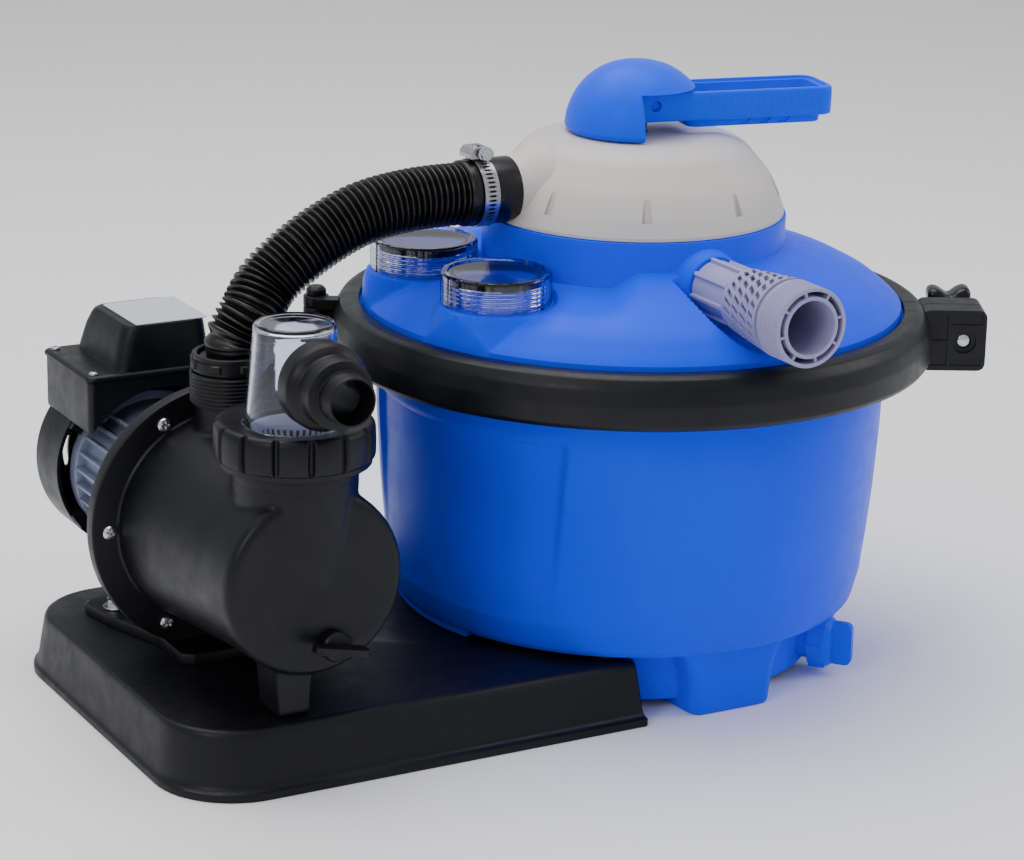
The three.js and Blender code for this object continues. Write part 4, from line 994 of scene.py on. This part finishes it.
def build_collar():
    t = np.linspace(0, 2 * math.pi, 120, endpoint=False)

    def outline(r):
        tabs = 30.0 + np.where(np.abs((np.degrees(t) + 12) % 45 - 12) < 7, 0.0, -1.6)
        return list(zip(np.minimum(tabs, r) * np.cos(t), np.minimum(tabs, r) * np.sin(t)))

    body = stack(outline, [(28.4, 272), (30, 272.8), (30, 277.2), (28.6, 278)])
    sleeve = [(23.8, 268.9), (26.6, 268.9), (27.5, 269.6)] + [(27.5, 281.2), (26.6, 282), (24.6, 282),
                                                              (23.8, 281)]
    obj = bare("collar_moulding", [on_port(body)])
    carve(obj, [on_port(rod(27, 260, 290, 64, 0))])
    tabs = part_of(obj)
    make("port_collar_moulding", [tabs, on_port(turned(sleeve, 96, closed=True))], BLACK, "unit",
         ["port_collar"], bevel=0.4)


def build_drain_plug():
    head = turned(fillet([(0, 7), (6, 7), (6, -0.3), (11, -0.3), (11, -6.5), (9.5, -8.5), (0, -8.5)], 0.7,
                         3), 72)
    wing = turn(slab(round_rect(-21, 21, -20, -7, 5), -2.6, 2.6), rx=90)
    parts = [turn(turn(p, rz=12), rx=-90, at=(PX + PLUG_X, -156, PZ + PLUG_Z)) for p in (head, wing)]
    make("drain_plug_moulding", parts, BLACK, "drain_plug", ["pump_drain_plug"], bevel=0.7)


def pan_head(r, h, seg=64):
    """Pan-head screw with a cross recess, head upwards from z 0."""
    dome = [(0, h), (r * 0.45, h * 0.97), (r * 0.8, h * 0.8), (r * 0.96, h * 0.45), (r, h * 0.12), (r, 0),
            (0, 0)]
    obj = bare("head", [turned(fillet(dome, 0.3, 3), seg)])
    w = r * 0.15
    carve(obj, [brick(-r * 0.6, r * 0.6, -w, w, h * 0.45, h * 2),
                brick(-w, w, -r * 0.6, r * 0.6, h * 0.45, h * 2)])
    return part_of(obj)


def build_screws():
    head = pan_head(5.4, 3.3)
    for i in range(FLANGE_SCREWS):
        a = rad(360 / FLANGE_SCREWS * i)
        at = (PX + FLANGE_R * math.cos(a), 0, PZ - FLANGE_R * math.sin(a))
        parts = [turn(turn(head, rz=23 * i), rx=90, at=(at[0], 10.6, at[2])),
                 turn(rod(2.6, 10.4, 29.9, 32, 0.3), rx=-90, at=at)]
        make(f"flange_screw_{i + 1}_head", parts, ZINC, "unit", [f"flange_screw_{i + 1}"], bevel=0.15)
    small = pan_head(3.6, 2.1)
    for i in range(4):
        x, y, _ = [c - o for c, o in zip(middle(f"box_screw_{i + 1}"), OFFSET)]
        make(f"box_screw_{i + 1}_head", [turn(small, rz=31 * i, at=(x, y, 237.3))], ZINC, "unit",
             [f"box_screw_{i + 1}"], bevel=0.12)
    for i, x in enumerate(FOOT_X):
        nut = bare("hex", [slab(hexagon(7.4, 14), TRAY_H + 10.6, TRAY_H + 16.5)])
        dome = turned([(0, 0), (9, 0), (9, 3.6), (7.3, 5.5), (5.6, 6.3), (0, 6.3)], 64)
        carve(nut, [turn(dome, at=(0, 0, TRAY_H + 10.3))], "INTERSECT")
        part = part_of(nut)
        bits = [part, ring(4.2, 10, TRAY_H + 9.3, TRAY_H + 10.6, 64, 0.3),
                rod(4, TRAY_H + 0.6, TRAY_H + 11, 32, 0.3), rod(3.8, TRAY_H + 11, TRAY_H + 16.52, 32, 0.5)]
        make(f"foot_bolt_{i + 1}_hex", [turn(b, at=(x, FOOT_Y, 0)) for b in bits], ZINC, "unit",
             [f"foot_bolt_{i + 1}"], bevel=0.2)


def build_strainer():
    teeth = 14
    t = np.linspace(0, 2 * math.pi, teeth * 24, endpoint=False)

    def outline(key):
        top, dent = key
        phase = (t * teeth / (2 * math.pi)) % 1
        groove = soft(np.abs(phase - 0.5), 0.40, 0.445)
        r = top - dent * groove
        return list(zip(r * np.cos(t), r * np.sin(t)))

    rows = [((53.5, 0), 230.2), ((54.3, 0), 230.8), ((54.6, 0), 234.4), ((55.4, 1.5), 235),
            ((56.4, 3), 236.2), ((56.9, 3.4), 238.6), ((57, 3.4), 248), ((56.7, 3.4), 256),
            ((56, 3.2), 258.6), ((54.6, 2.2), 260.3), ((53, 0.8), 261), ((51, 0), 260.9)]
    nut = bare("strainer_nut_moulding", [on_strainer(stack(outline, rows))])
    scoop = turned([(37, 225), (45.5, 225), (45.5, 257.6), (37, 257.6)], 128, closed=True)
    funnel = turned([(0, 252), (37.2, 252), (37.2, 258.9), (50.6, 261.0), (50.6, 266), (0, 266)], 128)
    carve(nut, [on_strainer(rod(45.5, 225, 257.6, 160, 0)), on_strainer(funnel)])
    finish_piece(nut, BLACK, "strainer_ring", ["strainer_nut"], angle=40, bevel=0.3)

    lid = fillet([(0, 331), (27, 331), (29, 328), (32, 296), (35, 263), (36, 258.8), (44.6, 257.4),
                  (44.6, 255.2), (32.5, 255.2), (32, 263), (26, 327), (0, 328)],
                 [0, 4.5, 4, 4, 3, 1.2, 0.6, 0.5, 0.5, 3, 3, 0], 6)
    obj = bare("strainer_lid_clear", [on_strainer(turned(dense(lid, 3), 192))])
    carve(obj, [turn(rod(15.5, -60, 0, 64, 0), rx=-90, at=(PX, STR_Y, 297))])
    finish_piece(obj, CLEAR, "strainer_top", ["strainer_lid"], angle=40)

    n = fillet([(12.6, -196), (15.6, -206), (15.8, -211), (17.3, -211), (18, -195), (21, -194.4),
                (24.5, -193), (24.5, -178), (27, -176), (29.4, -173.6), (31, -171), (31, -157),
                (12.6, -157)], [4, 1, 0.4, 0.6, 1, 1, 1.4, 2, 2, 2.4, 2.4, 1, 0.3], 4, closed=True)
    parts = [along_y(turned(n, 160, closed=True), PX, 297)]
    threads = turned([(16.2, -209.2)] + screw_thread(17.7, 0.5, -208.6, -196.6, 2.4) + [(16.2, -196)], 128,
                     closed=True)
    parts.append(along_y(threads, PX, 297))
    parts.append(along_y(ring(12.6, 15, -157.5, -148.5, 96, 0.3), PX, 297))
    make("suction_nozzle", parts, BLACK, "strainer_top", ["suction_elbow"], angle=36)

    cols, lines = 240, 44

    def wall(u, v):
        r = 29.2 + 4.2 * v
        return r * math.cos(2 * math.pi * u), r * math.sin(2 * math.pi * u), 108 + 140 * v

    def solid(i, j):
        return j < 2 or j > 41 or j % 6 in (0,) or i % 6 in (0, 1, 2)

    parts = [lattice(wall, cols, lines, solid, 1.9, -1), ring(27, 29.2, 106, 109.4, 96, 0.4),
             rod(27.5, 106, 108.4, 96, 0.4), turned(fillet([(31, 247), (34.4, 247), (36, 249), (36, 252.3),
                                                            (41, 252.3), (41, 254.5), (33, 254.5)], 0.4, 3,
                                                           closed=True), 128, closed=True)]
    make("basket_moulding", [on_strainer(p) for p in parts], BASKET, "unit", ["strainer_basket"], angle=40)


def build_bracket():
    foot = [(-409, 118), (-404, 84), (-386, 26), (-386, -14), (-378, -21), (-306, -21), (-298, -14),
            (-298, 26), (-280, 84), (-275, 118), (-280, 124), (-404, 124)]
    outline = fillet(foot, [5, 14, 16, 5, 5, 5, 5, 16, 14, 5, 5, 5], 6, closed=True)
    plate = stack(lambda i: [(PX + (x - PX) * (1 - i / 60), 50 + (y - 50) * (1 - i / 72))
                             for x, y in outline], [(0.4, 49), (0, 49.6), (0, 55.6), (0.5, 57), (1.4, 57.7)])
    obj = bare("bracket_casting", [on_pump(turned(fillet([(0, 22.2), (97, 22.2), (97, 31.2), (84, 34.2),
                                                          (0, 34.2)], [0, 1, 2, 2, 0], 4), 192))])
    web = brick(PX - 34, PX + 34, 23.2, 32.7, TRAY_H + 6, 92)
    saddle = stack(lambda i: round_rect(PX - 30 - i, PX + 30 + i, 70 - i, 112 + i, 3, 4),
                   [(3, 54), (1.5, 58), (0, 64), (0, PZ - 59)])
    gussets = [slab([(x - 2, 34), (x + 2, 34), (x + 2, 62), (x - 2, 62)], 55, 70)
               for x in (PX - 24, PX + 24)]
    carve(obj, [plate, web, saddle, *gussets], "UNION")
    cuts = [on_pump(rod(62.3, 34.2, 200, 128, 0)), on_pump(rod(10.3, 10, 50, 48, 0))]
    cuts += flange_holes(21.2, 31.7)
    cuts += [turn(rod(4.3, 40, 70, 32, 0), at=(x, FOOT_Y, 0)) for x in FOOT_X]
    carve(obj, cuts)
    finish_piece(obj, BLACK, "unit", ["motor_bracket"], bevel=0.8)


# ---------- motor ----------
def build_motor():
    y0, y1 = 34.5, 152
    shell = turned(fillet([(50, y0), (61, y0), (61, y0 + 7), (54.4, y0 + 8), (54.4, y1 - 8), (61, y1 - 7),
                           (61, y1), (61, y1 + 6), (58, y1 + 6), (30, y1 - 3), (26, y1 - 14),
                           (20.4, y1 - 14), (20.4, y1 - 12), (50, y1 - 6)], 0.8, 2, closed=True), 160,
                   closed=True)
    parts = [on_pump(shell)]
    for i in range(30):
        a = i * 12 + 6
        if 235 < a < 305 or 60 < a < 120:
            continue
        fin = stack(lambda k: [(53, -1.9 * k), (61.4, -1.1 * k), (61.6, 0), (61.4, 1.1 * k), (53, 1.9 * k)],
                    [(0.7, y0 + 5), (1, y0 + 6.5), (1, y1 - 6.5), (0.7, y1 - 5)])
        parts.append(on_pump(turn(fin, rz=a)))
    seat = bare("box_seat", [brick(PX - 40, PX + 40, 118, y1 - 1, PZ + 40, 190.7)])
    carve(seat, [on_pump(rod(55, 30, 210, 96, 0))])
    parts.append(part_of(seat))
    make("motor_frame_cast", parts, ALLOY, "unit", ["motor_frame"], angle=34)

    r = 71
    outer = fillet([(0, 214), (64, 214), (71, 204), (71, 159)], [0, 4, 5, 0], 7)
    inner = fillet([(68, 159), (68, 202.4), (62.4, 211), (0, 211)], [0, 4, 4, 0], 5)
    cover = bare("fan_cover_shell", [on_pump(turned(dense(outer, 4) + inner, 200, closed=False))])
    cuts = []
    for radius in (24, 33, 41.5):
        for k in range(8):
            a0, a1 = k * 45 + 4 + 90 / radius, k * 45 + 41 - 90 / radius
            slot = sector([(radius, 205), (radius + 4.6, 205), (radius + 4.6, 220), (radius, 220)],
                          a0 + 22.5, a1 + 22.5, 12)
            cuts.append(on_pump(slot))
    for a in (45, 135, 225, 315):
        cuts.append(on_pump(turn(rod(2.2, 60, 75, 24, 0), ry=90, rz=a, at=(0, 0, 166))))
    carve(cover, cuts)
    legs = [on_pump(turn(brick(61.5, 70.4, -6, 6, 152.6, 166), rz=a)) for a in (35, 145, 215, 325)]
    merge_into(cover, bare("fan_cover_legs", legs))
    finish_piece(cover, BLACK, "unit", ["fan_cover"], bevel=0.5)
    head = pan_head(3.6, 1.6)
    screws = [on_pump(turn(turn(head, rz=20), ry=90, rz=a, at=(70 * math.cos(rad(a)),
                                                               70 * math.sin(rad(a)), 166)))
              for a in (45, 135, 225, 315)]
    make("fan_cover_screws", screws, ZINC, "unit")


def build_box():
    x0, x1, y0, y1, z0 = -403, -284, 114, 207, 191
    low = bare("terminal_box_moulding", [stack(lambda i: round_rect(x0 + i, x1 - i, y0 + i, y1 - i, 6, 8),
                                               [(1.4, z0), (0.3, z0 + 1.4), (0, z0 + 3), (0, 231.4),
                                                (0.5, 232)])])
    carve(low, [slab(round_rect(x0 + 3, x1 - 3, y0 + 3, y1 - 3, 4, 5), z0 + 32, 240),
                on_pump(rod(72, 100, 230, 160, 0))])
    finish_piece(low, BLACK, "unit", ["terminal_box"], bevel=0.6)
    plate = stack(lambda i: round_rect(x0 - 1.5 + i, x1 + 1.5 - i, y0 - 1.5 + i, y1 + 1.5 - i, 7, 8),
                  [(0.6, 232.3), (0, 232.9), (0, 234.6), (0.6, 235.8), (1.6, 236.6), (3, 237)])
    obj = bare("terminal_lid_moulding", [plate])

    def hump(k):
        return round_rect(x0 + 24 + 9 * k, x1 - 18 - 3 * k, y0 + 1 + 2 * k, y1 - 3 - 11 * k, 12 + 2 * k, 12)

    rows = [(-0.1, 236), (0.0, 238), (0.12, 244), (0.45, 258), (0.78, 267), (0.95, 270), (1.1, 271.2),
            (1.35, 271.5)]
    carve(obj, [stack(hump, rows)], "UNION")
    finish_piece(obj, BLACK, "unit", ["terminal_lid"], bevel=0.9, segments=4, angle=40)
    label = stack(lambda i: round_rect(-363 + i, -304 - i, 118 + i, 186 - i, 3, 6),
                  [(0.2, 271.8), (0, 272), (0.2, 272.5)])
    make("rating_plate_blank", [label], LABEL, "unit", ["rating_plate"], angle=40)
    gland = bare("gland_body", [slab(hexagon(9.5), 0.3, 7)])
    flutes = turned(fillet([(0, 6), (11, 6), (11, 12), (9.6, 14), (7.5, 14.4), (7.5, 19.2), (6.8, 20),
                            (0, 20)], 0.6, 3), 96, shape=lambda r, z,
                    t: (np.where(r > 10, r - 0.35 + 0.35 * np.cos(24 * t), r), z))
    carve(gland, [flutes], "UNION")
    carve(gland, [rod(4.2, 5, 30, 48, 0)])
    part = part_of(gland)
    make("cable_gland_turned", [turn(part, rx=-90, at=(x1 - 17, y1, 220.5))], BLACK, "unit",
         ["cable_gland"], bevel=0.3)


# ---------- inner pieces: the CAD's own shapes with their materials ----------
def dress_inside():
    looks = {"lid_seal": RUBBER, "sight_gasket_front": RUBBER, "sight_gasket_rear": RUBBER,
             "strainer_seal": RUBBER, "valve_rotor": SEAT, "valve_spring": ZINC, "valve_seat": SEAT,
             "stator_core": LAMINATE, "front_bearing": SHAFT, "rear_bearing": SHAFT, "motor_shaft": SHAFT,
             "rotor_core": ALLOY, "impeller": BLACK, "cooling_fan": BLACK}
    for name, material in looks.items():
        obj = bpy.data.objects[name]
        obj.data.materials.clear()
        obj.data.materials.append(material)
        mod = obj.modifiers.new("soft_edges", "BEVEL")
        mod.width, mod.segments, mod.limit_method, mod.angle_limit = 0.0003, 2, "ANGLE", rad(40)
        shade(obj.data, 32)


for build in (build_tray, build_tank, build_lid, build_caps, build_clamp, build_dome, build_handle,
              build_lever, build_adaptor, build_hose, build_band, build_casing, build_collar,
              build_drain_plug, build_screws, build_strainer, build_bracket, build_motor, build_box,
              dress_inside):
    build()


# ---------- floor and light ----------
def area(name, energy, size, at, aim, color=(1, 1, 1)):
    light = bpy.data.lights.new(name, "AREA")
    light.energy, light.size, light.color = energy, size, color
    obj = bpy.data.objects.new(name, light)
    obj.location = at
    obj.rotation_euler = (Vector(aim) - Vector(at)).to_track_quat("-Z", "Y").to_euler()
    bpy.context.scene.collection.objects.link(obj)


def build_stage():
    n = Nodes("studio_floor")
    n.set(Base_Color=n.mix(n.noise(3, 2), (0.95, 0.95, 0.955, 1), (0.975, 0.975, 0.98, 1)),
          Roughness=n.span(n.noise(30, 3), 0.5, 0.62), Specular_IOR_Level=0.25)
    size = 14
    mesh = bpy.data.meshes.new("floor")
    grid = bmesh.new()
    bmesh.ops.create_grid(grid, x_segments=8, y_segments=8, size=size)
    grid.to_mesh(mesh)
    grid.free()
    mesh.materials.append(n.mat)
    floor = bpy.data.objects.new("floor", mesh)
    bpy.context.scene.collection.objects.link(floor)
    world = bpy.data.worlds.new("soft_room")
    world.use_nodes = True
    back = world.node_tree.nodes["Background"]
    back.inputs[0].default_value = (0.95, 0.97, 1.0, 1)
    back.inputs[1].default_value = 0.62
    bpy.context.scene.world = world
    area("overhead", 62, 2.4, (-0.2, 0.5, 2.5), (0, 0, 0.1))
    area("front_left", 15, 0.9, (-2.3, -1.3, 1.7), (0, 0, 0.2))
    area("right", 14, 1.2, (2.2, -0.9, 1.5), (0, 0, 0.2))


build_stage()
